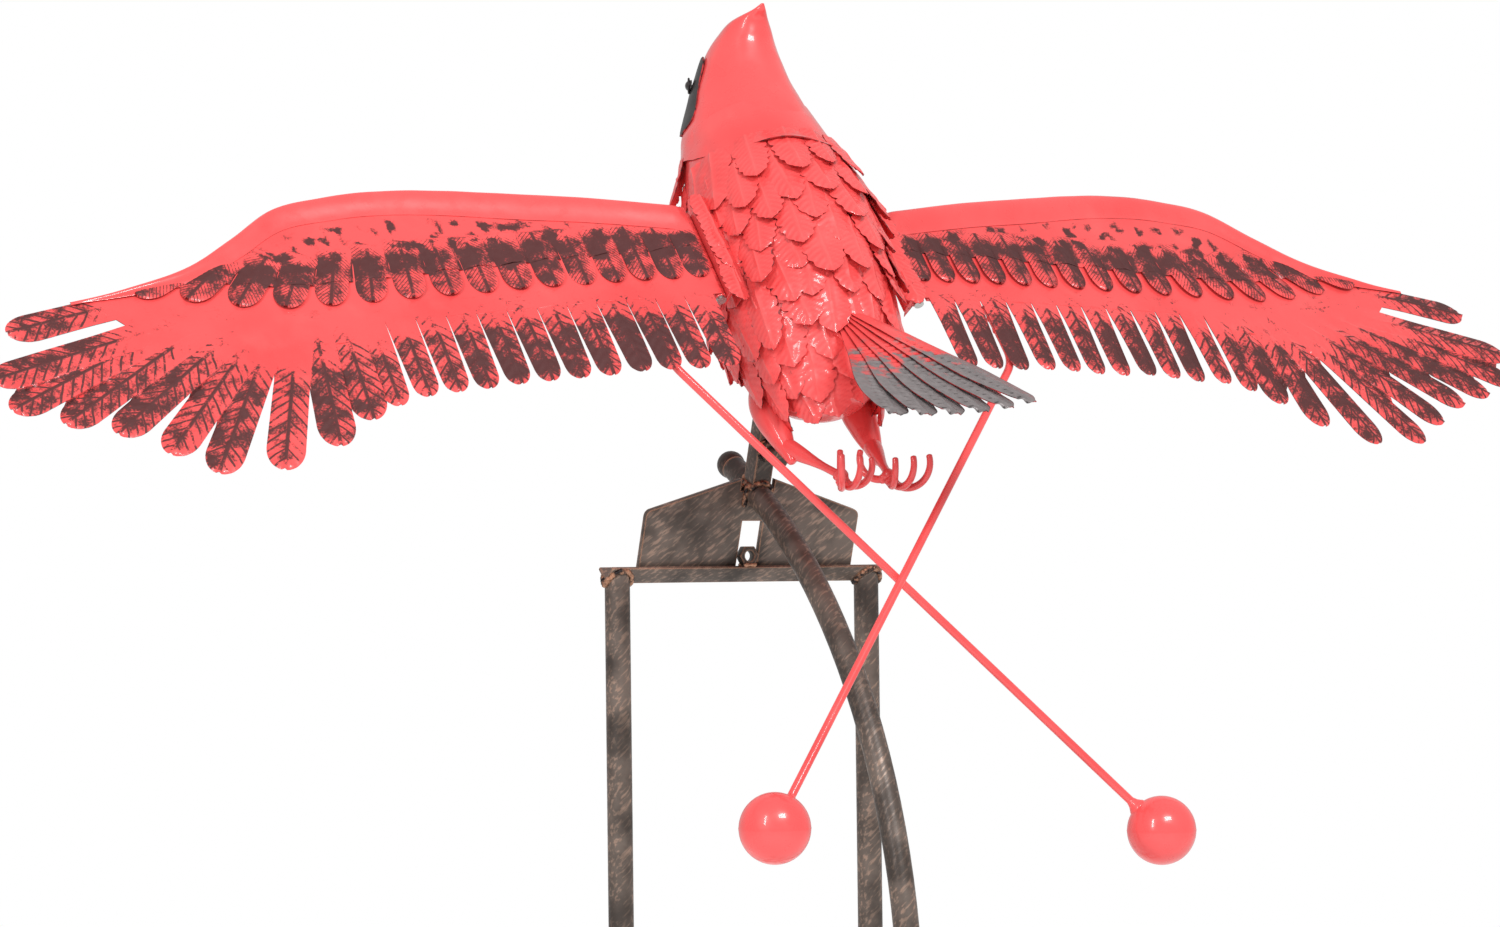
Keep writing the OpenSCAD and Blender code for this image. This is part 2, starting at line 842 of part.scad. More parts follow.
// One wing feather in the sheet: a blade with a rounded tip
module blade(tip, direction, length, w, root) {
    round_x = w * 0.7;
    arc = [for (a = [-90 : 22.5 : 90]) [-round_x + round_x * cos(a), w / 2 * sin(a)]];
    translate(tip)
        rotate([0, 0, direction])
            polygon(concat([[-length, w * root]], [[-length, -w * root]], arc));
}

module panel_outline() {
    inner = [for (f = primaries)
        let (reach = f[3] - root_overlap)
        [f[0] - reach * cos(f[2]), f[1] - reach * sin(f[2])]];
    polygon(concat(lead, inner, [[355, sheet_w + 2], [0, sheet_w]]));
    for (f = primaries)
        blade([f[0], f[1]], f[2], f[3], primary_w, primary_root);
    for (k = [0 : secondary_count - 1])
        blade([362 - k * secondary_step, secondary_tip + 12 * exp(-k / 1.2)], 90 + k * 0.2,
            secondary_l, secondary_w, secondary_root);
}

// Height of the leading edge at a distance along the span
function lead_y(x) = lookup(x, lead);

// Covert lobes: place along the span, tip and direction
function covert_x(k) = 14 + 28 * k + 0.52 * k * k;
function covert_tip(x) = 92 - 40 * pow(sin(90 * min(1, max(0, (x - 400) / 200))), 2);
function covert_turn(x) = 91 - 64 * pow(max(0, (x - 240) / 323), 1.4);

module covert_outline() {
    lobes = [for (k = [0 : covert_count - 1]) covert_x(k)];
    inner = [for (x = [495 : -45 : 45]) [x, covert_tip(x) - 40 + 20 * x / 600]];
    outer = [for (x = [40, 150, 361, 415, 464, 495]) [x, lead_y(x) + 10]];
    polygon(concat([[2, 12]], outer, inner, [[2, 56]]));
    for (x = lobes)
        blade([x + 26 * cos(covert_turn(x)), covert_tip(x)], covert_turn(x), covert_l,
            26 + 8 * x / 600, covert_root);
}

module wing_panel(side) {
    color(red)
        in_wing(side)
            translate([0, 0, panel_z]) linear_extrude(height = panel_t) panel_outline();
}

module left_wing_panel() { wing_panel(1); }
module right_wing_panel() { wing_panel(-1); }

module wing_coverts(side) {
    color(black)
        in_wing(side)
            translate([0, 0, panel_z + panel_t])
                linear_extrude(height = covert_t)
                    intersection() {
                        covert_outline();
                        panel_outline();
                    }
}

module left_wing_coverts() { wing_coverts(1); }
module right_wing_coverts() { wing_coverts(-1); }

// Outline of the leading edge cover, drawn in by inset all round
module edge_outline(inset) {
    stations = [edge_from + inset, 150, 361, 415, 464, 516, edge_to - inset];
    outer = [for (x = stations) [x, lead_y(x) + 1 + inset]];
    inner = [for (i = [len(stations) - 1 : -1 : 0])
        let (x = stations[i])
        [x, lead_y(x) + edge_w * (1 - x / 1400) - inset]];
    polygon(concat(outer, inner));
}

module leading_edge(side) {
    color(red)
        in_wing(side)
            translate([0, 0, panel_z + panel_t + covert_t])
                difference() {
                    linear_extrude(height = edge_h) edge_outline(0);
                    translate([0, 0, -edge_wall])
                        linear_extrude(height = edge_h) edge_outline(edge_wall);
                }
}

module left_leading_edge() { leading_edge(1); }
module right_leading_edge() { leading_edge(-1); }

// The right rod passes on the tail side of the left rod
function ball_centre(side) =
    [-side * ball_x,
     ball_y - side * rod_offset * sin(chord_pitch),
     ball_z - side * rod_offset * cos(chord_pitch)];

module wing_rod(side) {
    under = panel_z - rod_r - bead;
    color(red)
        difference() {
            on_axis()
                bent_rod([from_wing(side, [rod_x, rod_from, under]),
                    from_wing(side, [rod_x, rod_bend, under]), ball_centre(side)], rod_r);
            on_axis() translate(ball_centre(side)) sphere(d = ball_d);
        }
}

module left_wing_rod() { wing_rod(1); }
module right_wing_rod() { wing_rod(-1); }

module wing_ball(side) {
    color(red) on_axis() translate(ball_centre(side)) sphere(d = ball_d);
}

module left_wing_ball() { wing_ball(1); }
module right_wing_ball() { wing_ball(-1); }

left_post();
right_post();
foot_plates();
left_side_bar();
right_side_bar();
front_rail();
rear_rail();
rail_end_caps();
base_bolts();
base_nuts();
trough();
keeper_nut();
rocker_plate();
pendulum_tube();
tube_end_ball();
counterweight_ball();
neck_socket();
clamp_nut();
clamp_bolt();
bird_post();
cross_bar();
body_shell();
hood();
face_mask();
upper_beak();
lower_beak();
eyes();
collar_feathers();
shoulder_feathers();
mantle_feathers();
back_feathers();
rump_feathers();
tail_mount();
tail_feathers();
left_thigh();
right_thigh();
left_shank();
right_shank();
left_foot();
right_foot();
left_hinge_leaf();
right_hinge_leaf();
left_hinge_pin();
right_hinge_pin();
left_wing_panel();
left_wing_coverts();
left_leading_edge();
left_wing_leaf();
left_wing_rod();
left_wing_ball();
right_wing_panel();
right_wing_coverts();
right_leading_edge();
right_wing_leaf();
right_wing_rod();
right_wing_ball();
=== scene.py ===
"""Looks for a kinetic garden bird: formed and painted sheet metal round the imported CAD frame.

Shapes are worked out in millimetres in the same local frames as the CAD part, then placed in metres.
"""

import json
import random
from math import atan2, cos, degrees, exp, floor, pi, radians, sin, sqrt

import bpy
import numpy as np
from mathutils import Matrix, Vector, geometry, noise


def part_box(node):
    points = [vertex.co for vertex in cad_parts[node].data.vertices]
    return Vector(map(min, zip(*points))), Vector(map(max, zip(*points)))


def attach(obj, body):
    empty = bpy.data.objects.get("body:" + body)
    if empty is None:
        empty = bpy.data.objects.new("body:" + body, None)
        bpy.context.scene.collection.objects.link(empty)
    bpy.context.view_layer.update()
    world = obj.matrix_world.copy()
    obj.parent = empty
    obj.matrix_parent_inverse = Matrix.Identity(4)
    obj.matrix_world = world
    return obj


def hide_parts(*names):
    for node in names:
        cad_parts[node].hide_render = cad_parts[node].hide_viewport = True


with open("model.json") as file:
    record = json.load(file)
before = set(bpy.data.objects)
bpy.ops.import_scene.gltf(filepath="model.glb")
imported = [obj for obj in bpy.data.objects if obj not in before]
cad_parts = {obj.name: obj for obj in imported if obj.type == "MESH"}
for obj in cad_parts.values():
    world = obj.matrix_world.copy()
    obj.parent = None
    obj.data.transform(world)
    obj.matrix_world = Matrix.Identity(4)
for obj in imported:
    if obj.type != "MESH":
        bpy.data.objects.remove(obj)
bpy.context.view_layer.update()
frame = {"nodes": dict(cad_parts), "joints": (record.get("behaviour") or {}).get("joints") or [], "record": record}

MM = 0.001
SIDES = {"left": 1, "right": -1}
joints = {joint["name"]: joint for joint in frame["joints"]}
ROCK_AXIS = np.array(joints["rock"]["pos_m"]) / MM

# Linear paint colours
RED = (0.85, 0.078, 0.078, 1)
DEEP_RED = (0.42, 0.018, 0.02, 1)
PALE_RED = (0.9, 0.14, 0.13, 1)
CHARCOAL = (0.03, 0.022, 0.022, 1)
BROWN_BLACK = (0.013, 0.008, 0.008, 1)
BRONZE = (0.14, 0.108, 0.09, 1)
TAIL_GREY = (0.26, 0.23, 0.23, 1)
BRONZE_DARK = (0.045, 0.034, 0.028, 1)
COPPER = (0.42, 0.215, 0.13, 1)
TAN = (0.30, 0.2, 0.15, 1)
STEEL = (0.55, 0.55, 0.54, 1)
DULL_STEEL = (0.36, 0.35, 0.33, 1)
OLD_GREY = (0.1, 0.085, 0.085, 1)
WHITE = (1, 1, 1, 1)


# ---- materials


class Paint:
    """A node-based material, with a short method for each kind of step."""

    def __init__(self, name, roughness=0.4, metallic=0.0, coat=0.0):
        self.material = bpy.data.materials.new(name)
        self.material.use_nodes = True
        self.tree = self.material.node_tree
        self.tree.nodes.clear()
        self.shader = self.node("BsdfPrincipled", {
            "Roughness": roughness, "Metallic": metallic, "Coat Weight": coat, "Coat Roughness": 0.08,
            "Specular IOR Level": 0.35})
        output = self.node("OutputMaterial")
        self.tree.links.new(self.shader.outputs[0], output.inputs[0])
        self.place = self.node("TexCoord").outputs["Object"]

    def node(self, kind, inputs=None, **settings):
        made = self.tree.nodes.new(f"ShaderNode{kind}")
        for key, value in settings.items():
            setattr(made, key, value)
        for key, value in (inputs or {}).items():
            self.feed(made.inputs[key], value)
        return made

    def feed(self, socket, value):
        if isinstance(value, bpy.types.NodeSocket):
            self.tree.links.new(value, socket)
        else:
            socket.default_value = value

    def set(self, **inputs):
        """Feeds the shader: base_color=..., roughness=..., normal=..."""
        for key, value in inputs.items():
            self.feed(self.shader.inputs[key.replace("_", " ").title()], value)

    def math(self, operation, a, b=0.0):
        return self.node("Math", {0: a, 1: b}, operation=operation).outputs[0]

    def between(self, value, low, high, to_low=0.0, to_high=1.0):
        """value mapped smoothly from low..high to to_low..to_high."""
        return self.node("MapRange", {
            "Value": value, "From Min": low, "From Max": high, "To Min": to_low, "To Max": to_high},
            interpolation_type="SMOOTHSTEP").outputs[0]

    def stretched(self, scale):
        return self.node("Mapping", {"Vector": self.place, "Scale": scale}).outputs[0]

    def noise(self, scale, detail=3.0, vector=None):
        return self.node("TexNoise", {
            "Vector": self.place if vector is None else vector, "Scale": scale,
            "Detail": detail}).outputs["Fac"]

    def patches(self, scale, detail, low, high, to_low=0.0, to_high=1.0):
        """Noise, mapped as between does."""
        return self.between(self.noise(scale, detail), low, high, to_low, to_high)

    def mix(self, share, a, b):
        return self.node("Mix", {0: share, 6: a, 7: b}, data_type="RGBA").outputs[2]

    def bump(self, height, depth_mm, below=None):
        made = self.node("Bump", {"Height": height, "Distance": depth_mm * MM})
        if below is not None:
            self.feed(made.inputs["Normal"], below)
        return made.outputs[0]

    def grain(self, scale, detail, depth_mm, below=None):
        return self.bump(self.noise(scale, detail), depth_mm, below)

    def attribute(self, name, output="Fac"):
        return self.node("Attribute", attribute_name=name).outputs[output]

    def edges(self, radius_mm):
        """1 along sharp edges, 0 on flats and round bars."""
        rounded = self.node("Bevel", {"Radius": radius_mm * MM}, samples=4).outputs[0]
        flat = self.node("NewGeometry").outputs["Normal"]
        same = self.node("VectorMath", {0: rounded, 1: flat}, operation="DOT_PRODUCT").outputs["Value"]
        return self.between(same, 0.985, 0.86)


SLOT_OF = {}


def painted(slot, name, recipe, **settings):
    """A material for a slot of the record: recipe lays the layers on a new Paint."""
    paint = Paint(name, **settings)
    recipe(paint)
    SLOT_OF[paint.material] = slot
    return paint.material


def red_base(paint):
    """Red enamel that pools a little darker in places, with a dusty bloom."""
    colour = paint.mix(paint.patches(9, 4, 0.42, 0.75, 0, 0.35), RED, DEEP_RED)
    colour = paint.mix(paint.patches(28, 5, 0.52, 0.8, 0, 0.22), colour, PALE_RED)
    return paint.mix(paint.patches(420, 2, 0.70, 0.78, 0, 0.35), colour, DEEP_RED)


def hammered(paint, depth_mm=0.5):
    """Soft dents of hand-formed sheet, with orange peel in the enamel over them."""
    return paint.grain(260, 2, 0.05, below=paint.grain(34, 1, depth_mm))


def enamel(paint):
    paint.set(base_color=red_base(paint), roughness=paint.patches(60, 4, 0.3, 0.7, 0.24, 0.42),
              normal=hammered(paint))


def leaf_enamel(paint):
    """Body feathers: red enamel, paler on the veins, with painted shade in the grooves and darker rims: dark cut
    edges with painted shadow.
    """
    ridge = paint.attribute("ridge")
    rim = paint.attribute("brush")
    colour = paint.mix(paint.between(ridge, 0.4, 1.0, 0, 0.28), red_base(paint), PALE_RED)
    # Painted shade: deeper red where the ridge value is low, in the grooves between the veins.
    colour = paint.mix(paint.between(ridge, 0.35, 0.0, 0, 0.30), colour, DEEP_RED)
    # Dark rims: part dark cut edge, part painted shadow under the leaf edges.
    edge_wear_and_shadow = paint.math("ADD", rim, paint.patches(150, 3, 0.3, 0.7, -0.35, 0.35))
    colour = paint.mix(paint.between(edge_wear_and_shadow, 0.55, 0.95, 0, 0.8), colour, CHARCOAL)
    paint.set(base_color=colour, roughness=paint.patches(70, 3, 0.3, 0.7, 0.28, 0.46),
              normal=hammered(paint, 0.3))


def brushed_feather(paint):
    """Red enamel with black dry-brushed over the embossed shaft and barbs.

    The mesh carries feather_uv (distance from the tip, distance from the shaft, pitch of the
    barbs) and brush, which says how much black the brush left.
    """
    split = paint.node("SeparateXYZ", {0: paint.attribute("feather_uv", "Vector")})
    along, across, pitch = split.outputs
    away = paint.math("ABSOLUTE", across)
    turns = paint.math("DIVIDE", paint.math("ADD", along, away), pitch)
    turns = paint.math("ADD", paint.math("MULTIPLY", turns, 2 * pi),
                       paint.patches(45, 2, 0.2, 0.8, -0.9, 0.9))
    barb = paint.between(paint.math("COSINE", turns), 0.35, 0.9)
    shaft = paint.between(away, 3.0, 1.1)
    amount = paint.math("ADD", paint.attribute("brush"), paint.patches(70, 5, 0.28, 0.72, -0.32, 0.32))
    amount = paint.math("ADD", amount, paint.patches(480, 3, 0.3, 0.7, -0.16, 0.16))
    wash = paint.between(amount, 0.34, 0.9, 0, 0.93)
    lined = paint.math("MULTIPLY", paint.math("MAXIMUM", barb, shaft),
                       paint.between(amount, 0.02, 0.42, 0, 0.92))
    black = paint.math("MAXIMUM", wash, lined)
    dusty = paint.mix(paint.noise(150, 4), BROWN_BLACK, CHARCOAL)
    paint.set(base_color=paint.mix(black, red_base(paint), dusty),
              roughness=paint.between(black, 0, 1, 0.32, 0.7), normal=hammered(paint, 0.25),
              coat_weight=paint.between(black, 0, 1, 0.25, 0.04))


def brushed_tail(paint):
    """Grey sheet showing through red enamel that fades away from the root, with painted shade in its grooves and
    along each feather's left edge.
    """
    ridge = paint.attribute("ridge")
    fade = paint.math("ADD", paint.attribute("brush"), paint.patches(70, 5, 0.3, 0.7, -0.28, 0.28))
    bare = paint.between(fade, 0.38, 0.72)
    grey = paint.mix(paint.noise(160, 4), TAIL_GREY, OLD_GREY)
    colour = paint.mix(bare, red_base(paint), grey)
    dark = paint.mix(bare, DEEP_RED, BROWN_BLACK)
    # Painted shade: dark where the ridge value is low, between the combed ribs and along each left edge.
    groove_shade = paint.between(ridge, 0.42, 0.08, 0, 0.85)
    paint.set(base_color=paint.mix(groove_shade, colour, dark), roughness=0.42, normal=hammered(paint, 0.2))


def cut_edge(paint):
    paint.set(base_color=paint.mix(paint.patches(120, 3, 0.35, 0.65), DEEP_RED, BROWN_BLACK),
              normal=paint.grain(900, 2, 0.1))


def brushed_bronze(paint):
    """Dark bronze paint with slanting copper brush strokes, rubbed through along the edges."""
    slant = paint.node("Mapping", {"Vector": paint.place, "Rotation": (0, -0.85, 0),
                       "Scale": (1, 1, 9)}, vector_type="TEXTURE").outputs[0]
    strokes = paint.noise(330, 3, vector=slant)
    broad = paint.noise(22, 4)
    colour = paint.mix(paint.between(broad, 0.32, 0.66), BRONZE_DARK, BRONZE)
    copper = paint.math("MULTIPLY", paint.between(strokes, 0.5, 0.66, 0, 0.85),
                        paint.between(broad, 0.36, 0.6, 0.2, 1))
    colour = paint.mix(copper, colour, TAN)
    rubbed = paint.math("ADD", paint.edges(3), paint.patches(90, 3, 0.3, 0.7, -0.4, 0.25))
    rub = paint.between(rubbed, 0.25, 0.75, 0, 0.9)
    paint.set(base_color=paint.mix(rub, colour, COPPER), normal=paint.grain(700, 3, 0.12),
              metallic=paint.between(rub, 0, 1, 0.15, 0.55),
              roughness=paint.between(strokes, 0.3, 0.7, 0.5, 0.34))


def weld_bronze(paint):
    paint.set(base_color=paint.mix(paint.patches(150, 3, 0.4, 0.62), BROWN_BLACK, COPPER),
              normal=paint.grain(420, 3, 0.35))


def satin_black(paint):
    paint.set(base_color=paint.mix(paint.patches(55, 5, 0.4, 0.75), BROWN_BLACK, CHARCOAL),
              normal=hammered(paint, 0.35))


def plastic(paint):
    scuffs = paint.between(paint.noise(80, 4, vector=paint.stretched((1, 6, 1))), 0.5, 0.75)
    paint.set(base_color=paint.mix(scuffs, (0.02, 0.02, 0.021, 1), (0.075, 0.073, 0.07, 1)),
              normal=paint.grain(1400, 2, 0.08))


def zinc_plate(paint):
    turned = paint.noise(500, 2, vector=paint.stretched((1, 1, 9)))
    paint.set(base_color=paint.mix(paint.noise(60, 3), STEEL, DULL_STEEL),
              roughness=paint.between(turned, 0.3, 0.7, 0.24, 0.42), normal=paint.bump(turned, 0.05))


def glass_eye(paint):
    depth = paint.patches(160, 2, 0.4, 0.6)
    paint.set(base_color=paint.mix(depth, (0.004, 0.004, 0.004, 1), (0.02, 0.012, 0.01, 1)),
              normal=paint.grain(300, 1, 0.02))


def pale_floor(paint):
    colour = paint.mix(paint.noise(3, 3), (0.86, 0.86, 0.855, 1), (0.9, 0.9, 0.895, 1))
    paint.set(base_color=colour, normal=paint.grain(60, 4, 0.2),
              emission_color=WHITE, emission_strength=0.22)


# ---- mesh helpers


def ramp(low, high, value):
    """0 at low, 1 at high and smooth between."""
    share = np.clip((np.asarray(value, float) - low) / (high - low), 0, 1)
    return share * share * (3 - 2 * share)


def hermite(x, xs, ys):
    """Smooth curve through the points (xs, ys), read at x."""
    xs, ys = np.array(xs, float), np.array(ys, float)
    slopes = np.gradient(ys, xs)
    x = np.clip(np.asarray(x, float), xs[0], xs[-1])
    i = np.clip(np.searchsorted(xs, x) - 1, 0, len(xs) - 2)
    step = xs[i + 1] - xs[i]
    t = (x - xs[i]) / step
    return ((2 * t**3 - 3 * t**2 + 1) * ys[i] + (t**3 - 2 * t**2 + t) * step * slopes[i]
            + (3 * t**2 - 2 * t**3) * ys[i + 1] + (t**3 - t**2) * step * slopes[i + 1])


def rotation(axis, turn):
    return np.array(Matrix.Rotation(radians(turn), 4, axis))


def translation(x, y, z):
    made = np.eye(4)
    made[:3, 3] = (x, y, z)
    return made


def moved(matrix, points):
    points = np.asarray(points, float)
    return points @ matrix[:3, :3].T + matrix[:3, 3]


def rough(points, size_mm, amount_mm, seed):
    """Smooth random offset, one value for each point."""
    offset = Vector((seed * 7.3, seed * 3.1, seed * 1.7))
    return amount_mm * np.array([noise.noise(Vector(p) / size_mm + offset) for p in points])


def box_mm(node):
    """Low and high corners of a CAD node's box, in mm."""
    return tuple(np.array(corner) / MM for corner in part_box(node))


def stacked(*coordinates):
    return np.stack(coordinates, axis=1)


def unit(vector):
    return vector / np.linalg.norm(vector)


def circle(count, closed=False):
    return np.linspace(0, 2 * pi, count, endpoint=closed)


def unit_grid(rows, columns, power=1.0):
    """Points of a grid, row by row: s runs from 0 to 1 down the rows, q from -1 to 1 across."""
    s, q = np.meshgrid(np.linspace(0, 1, rows) ** power, np.linspace(-1, 1, columns), indexing="ij")
    return s.ravel(), q.ravel()


def grid_faces(rows, columns, close=False):
    """Quads of a grid of points stored row by row; close joins the last column to the first."""
    at = np.arange(rows * columns).reshape(rows, columns)
    if close:
        at = np.concatenate([at, at[:, :1]], axis=1)
    quads = np.stack([at[:-1, :-1], at[:-1, 1:], at[1:, 1:], at[1:, :-1]], axis=-1)
    return quads.reshape(-1, 4).tolist()


def tube_faces(rows, columns, first=True, last=True, order=1):
    """Closed grid with a cap on its first and last rows; order -1 turns it inside out."""
    faces = grid_faces(rows, columns, close=True)
    if first:
        faces.append(tuple(range(columns))[::-1])
    if last:
        faces.append(tuple(range((rows - 1) * columns, rows * columns)))
    return [face[::order] for face in faces]


def joined(parts):
    """One (points, faces) from several."""
    faces, count = [], 0
    for points, part_faces in parts:
        faces += [tuple(i + count for i in face) for face in part_faces]
        count += len(points)
    return np.concatenate([points for points, _ in parts]), faces


def sweep(path, radius, sides=20):
    """Round bar with domed ends along a path of points."""
    path = np.asarray(path, float)
    radii = np.broadcast_to(radius, len(path))
    tangents = np.gradient(path, axis=0)
    tangents /= np.linalg.norm(tangents, axis=1)[:, None]
    dome = np.radians([8, 35, 62])
    head = [path[0] - tangents[0] * radii[0] * 0.6 * cos(a) for a in dome]
    tail = [path[-1] + tangents[-1] * radii[-1] * 0.6 * cos(a) for a in dome[::-1]]
    path = np.concatenate([head, path, tail])
    radii = np.concatenate([radii[0] * np.sin(dome), radii, radii[-1] * np.sin(dome[::-1])])
    tangents = np.concatenate([[tangents[0]] * 3, tangents, [tangents[-1]] * 3])
    side = np.cross(tangents[0], (0, 0, 1) if abs(tangents[0][2]) < 0.9 else (1, 0, 0))
    points = []
    for centre, tangent, r in zip(path, tangents, radii):
        side = unit(side - tangent * (side @ tangent))
        other = np.cross(tangent, side)
        points += [centre + r * (cos(a) * side + sin(a) * other) for a in circle(sides)]
    return np.array(points), tube_faces(len(path), sides)


def unit_ball(polar, columns):
    return np.array([(sin(p) * cos(t), sin(p) * sin(t), cos(p))
                     for p in polar for t in circle(columns)])


def blob(centre, radius, seed):
    """Lump of weld: a rough ball."""
    rows, columns = 11, 18
    points = unit_ball(pi * (np.arange(rows) + 0.5) / rows, columns)
    points *= (1 + rough(points, 0.55, 0.22, seed))[:, None] * radius
    return points + centre, tube_faces(rows, columns, order=-1)


def weld_bead(path, radius, seed):
    """Bead of weld along a path, rippled every 3.2 mm."""
    path = np.asarray(path, float)
    lengths = np.concatenate([[0], np.cumsum(np.linalg.norm(np.diff(path, axis=0), axis=1))])
    stations = np.arange(0, lengths[-1], 0.55)
    dense = np.stack([np.interp(stations, lengths, path[:, k]) for k in range(3)], axis=1)
    ripple = 1 + 0.2 * np.abs(np.sin(pi * stations / 3.2)) + rough(dense, 6, 0.3, seed)
    return sweep(dense, radius * ripple, sides=10)


def linked(name, data):
    """A new object in the scene."""
    obj = bpy.data.objects.new(name, data)
    bpy.context.scene.collection.objects.link(obj)
    return obj


def smooth(obj, split_degrees):
    """Smooth shading, split along sharper edges."""
    obj.data.polygons.foreach_set("use_smooth", [True] * len(obj.data.polygons))
    split = obj.modifiers.new("Sharp edges", "EDGE_SPLIT")
    split.split_angle = radians(split_degrees)


def piece(name, shape, material, body, node=None, thickness=0.0, values=None, flip=False):
    """Makes one Blender piece from (points in mm, faces), on a CAD body and perhaps for a CAD node."""
    points, faces = shape
    if flip:
        faces = [face[::-1] for face in faces]
    mesh = bpy.data.meshes.new(name)
    mesh.from_pydata((np.asarray(points) * MM).tolist(), [], faces)
    for label, data in (values or {}).items():
        data = np.asarray(data, np.float32)
        vector = data.ndim == 2
        made = mesh.attributes.new(label, "FLOAT_VECTOR" if vector else "FLOAT", "POINT")
        made.data.foreach_set("vector" if vector else "value", data.ravel())
    mesh.materials.append(material)
    obj = linked(name, mesh)
    if thickness:
        mesh.materials.append(CUT_EDGE)
        solid = obj.modifiers.new("Thickness", "SOLIDIFY")
        solid.thickness, solid.offset = thickness * MM, -1
        solid.material_offset_rim = 1
    smooth(obj, 42)
    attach(obj, body)
    if node:
        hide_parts(node)


def embossed(node, plates, material, thickness):
    """Makes the piece for one CAD node from plates of (points, faces, ridge, brush)."""
    values = {label: np.concatenate([plate[i] for plate in plates])
              for i, label in ((2, "ridge"), (3, "brush"))}
    piece(f"{node}_formed", joined([plate[:2] for plate in plates]), material, "rocker", node,
          thickness, values, flip=True)


# ---- wings

# Wing frame: x outwards, y along the chord, z out of the upper side. Outlines as in the CAD.
WING_DROOP = {"left": 8, "right": 3}
SHEET_Z = 6
SHEET_T = 0.9
SHEET_W = 114
CHORD = 290
LEAD_X = [0, 150, 361, 415, 464, 516, 581, 640]
LEAD_Y = [0, -30, -46, -35, -2, 31, 52, 62]
# Primary feathers: tip x, tip y, direction in degrees, free length
PRIMARIES = [(704, 91, 12, 130), (732, 149, 16, 195), (723, 185, 26, 215), (679, 206, 33, 210),
             (635, 224, 38, 205), (593, 251, 48, 205), (555, 278, 59, 200), (494, 282, 70, 190),
             (434, 261, 83, 160), (393, 233, 88, 130)]
PRIMARY_W, PRIMARY_ROOT = 36, 0.42
SECONDARY_W, SECONDARY_ROOT = 25, 0.62
SECONDARY_COUNT, SECONDARY_PITCH, SECONDARY_L = 12, 31, 108
ROOT_OVERLAP = 36
COVERT_COUNT, COVERT_L = 16, 74
COVER_T = 0.8
BARB_PITCH, COVERT_PITCH = 12.0, 4.6
# Counterweight rod: place along the wing, chord places of its start and its bend, radius
ROD_X, ROD_FROM, ROD_BEND, ROD_R = 80, 118, 190, 4


class Blade:
    """One feather of a sheet: a tapering strip with a rounded tip."""

    def __init__(self, tip, direction, length, width, root=0.5):
        self.tip, self.length, self.width = np.array(tip, float), length, width
        self.root = root
        turn = radians(direction)
        self.out = np.array((cos(turn), sin(turn)))
        self.side = np.array((-sin(turn), cos(turn)))
        self.round = 0.7 * width

    def local(self, points):
        """Distance back from the tip, and to the side of the shaft."""
        offset = np.asarray(points) - self.tip
        return -(offset @ self.out), offset @ self.side

    def place(self, along, across):
        return self.tip - np.outer(along, self.out) + np.outer(across, self.side)

    def half_width(self, along):
        along = np.asarray(along, float)
        share = np.clip(1 - along / self.round, 0, 1)
        tip = 0.5 * np.sqrt(1 - share**2)
        body = 0.5 + (self.root - 0.5) * (along - self.round) / (self.length - self.round)
        return self.width * np.where(along < self.round, tip, body)

    def outline(self):
        along = np.concatenate([self.round * (1 - np.cos(np.radians(np.arange(0, 91, 9)))),
                                np.arange(self.round + 5, self.length, 6), [self.length]])
        half = self.half_width(along)
        return np.concatenate([self.place(along, half), self.place(along[1:], -half[1:])[::-1]])

    def dense(self, spacing, reach):
        """Points inside the blade as far as reach (a share of its length)."""
        along = np.arange(spacing * 0.7, self.length * reach, spacing)
        rows = []
        for k, a in enumerate(along):
            half = float(self.half_width(a)) - spacing * 0.45
            across = np.arange(-20, 21) * spacing + (k % 2) * spacing / 2
            across = across[np.abs(across) < half]
            rows.append(self.place(np.full(len(across), a), across))
        return np.concatenate(rows)

    def holds(self, points, margin=0.05):
        along, across = self.local(points)
        inside = (along > -margin) & (along < self.length + margin)
        return inside & (np.abs(across) < self.half_width(along) + margin)

    def sideways(self, along, across):
        """Place across the blade: -1 and 1 on its edges."""
        return across / np.maximum(self.half_width(along), 1)

    def relief(self, along, across, crown, barb, root, pitch):
        """Height of the formed blade: crowned, with a raised shaft and slanting barbs."""
        share = np.clip(np.abs(self.sideways(along, across)), 0, 1)
        rise = 1 - ramp(root * 0.55, root, along / self.length)
        ribs = np.cos(2 * pi * (along + np.abs(across)) / pitch)
        ribs *= ramp(0.05, 0.25, share) * (1 - ramp(0.75, 1, share))
        shaft = np.exp(-(across / 1.6)**2)
        return rise * (crown * (1 - share**2) + barb * ribs + 2.4 * barb * shaft + 0.09 * across)


def in_polygon(points, polygon):
    """Even-odd test of many points against one polygon."""
    x, y = points[:, 0], points[:, 1]
    inside = np.zeros(len(points), bool)
    for (ax, ay), (bx, by) in zip(polygon, np.roll(polygon, -1, axis=0)):
        crosses = (ay > y) != (by > y)
        slope = (bx - ax) / (by - ay) if by != ay else 0
        inside ^= crosses & (x < ax + (y - ay) * slope)
    return inside


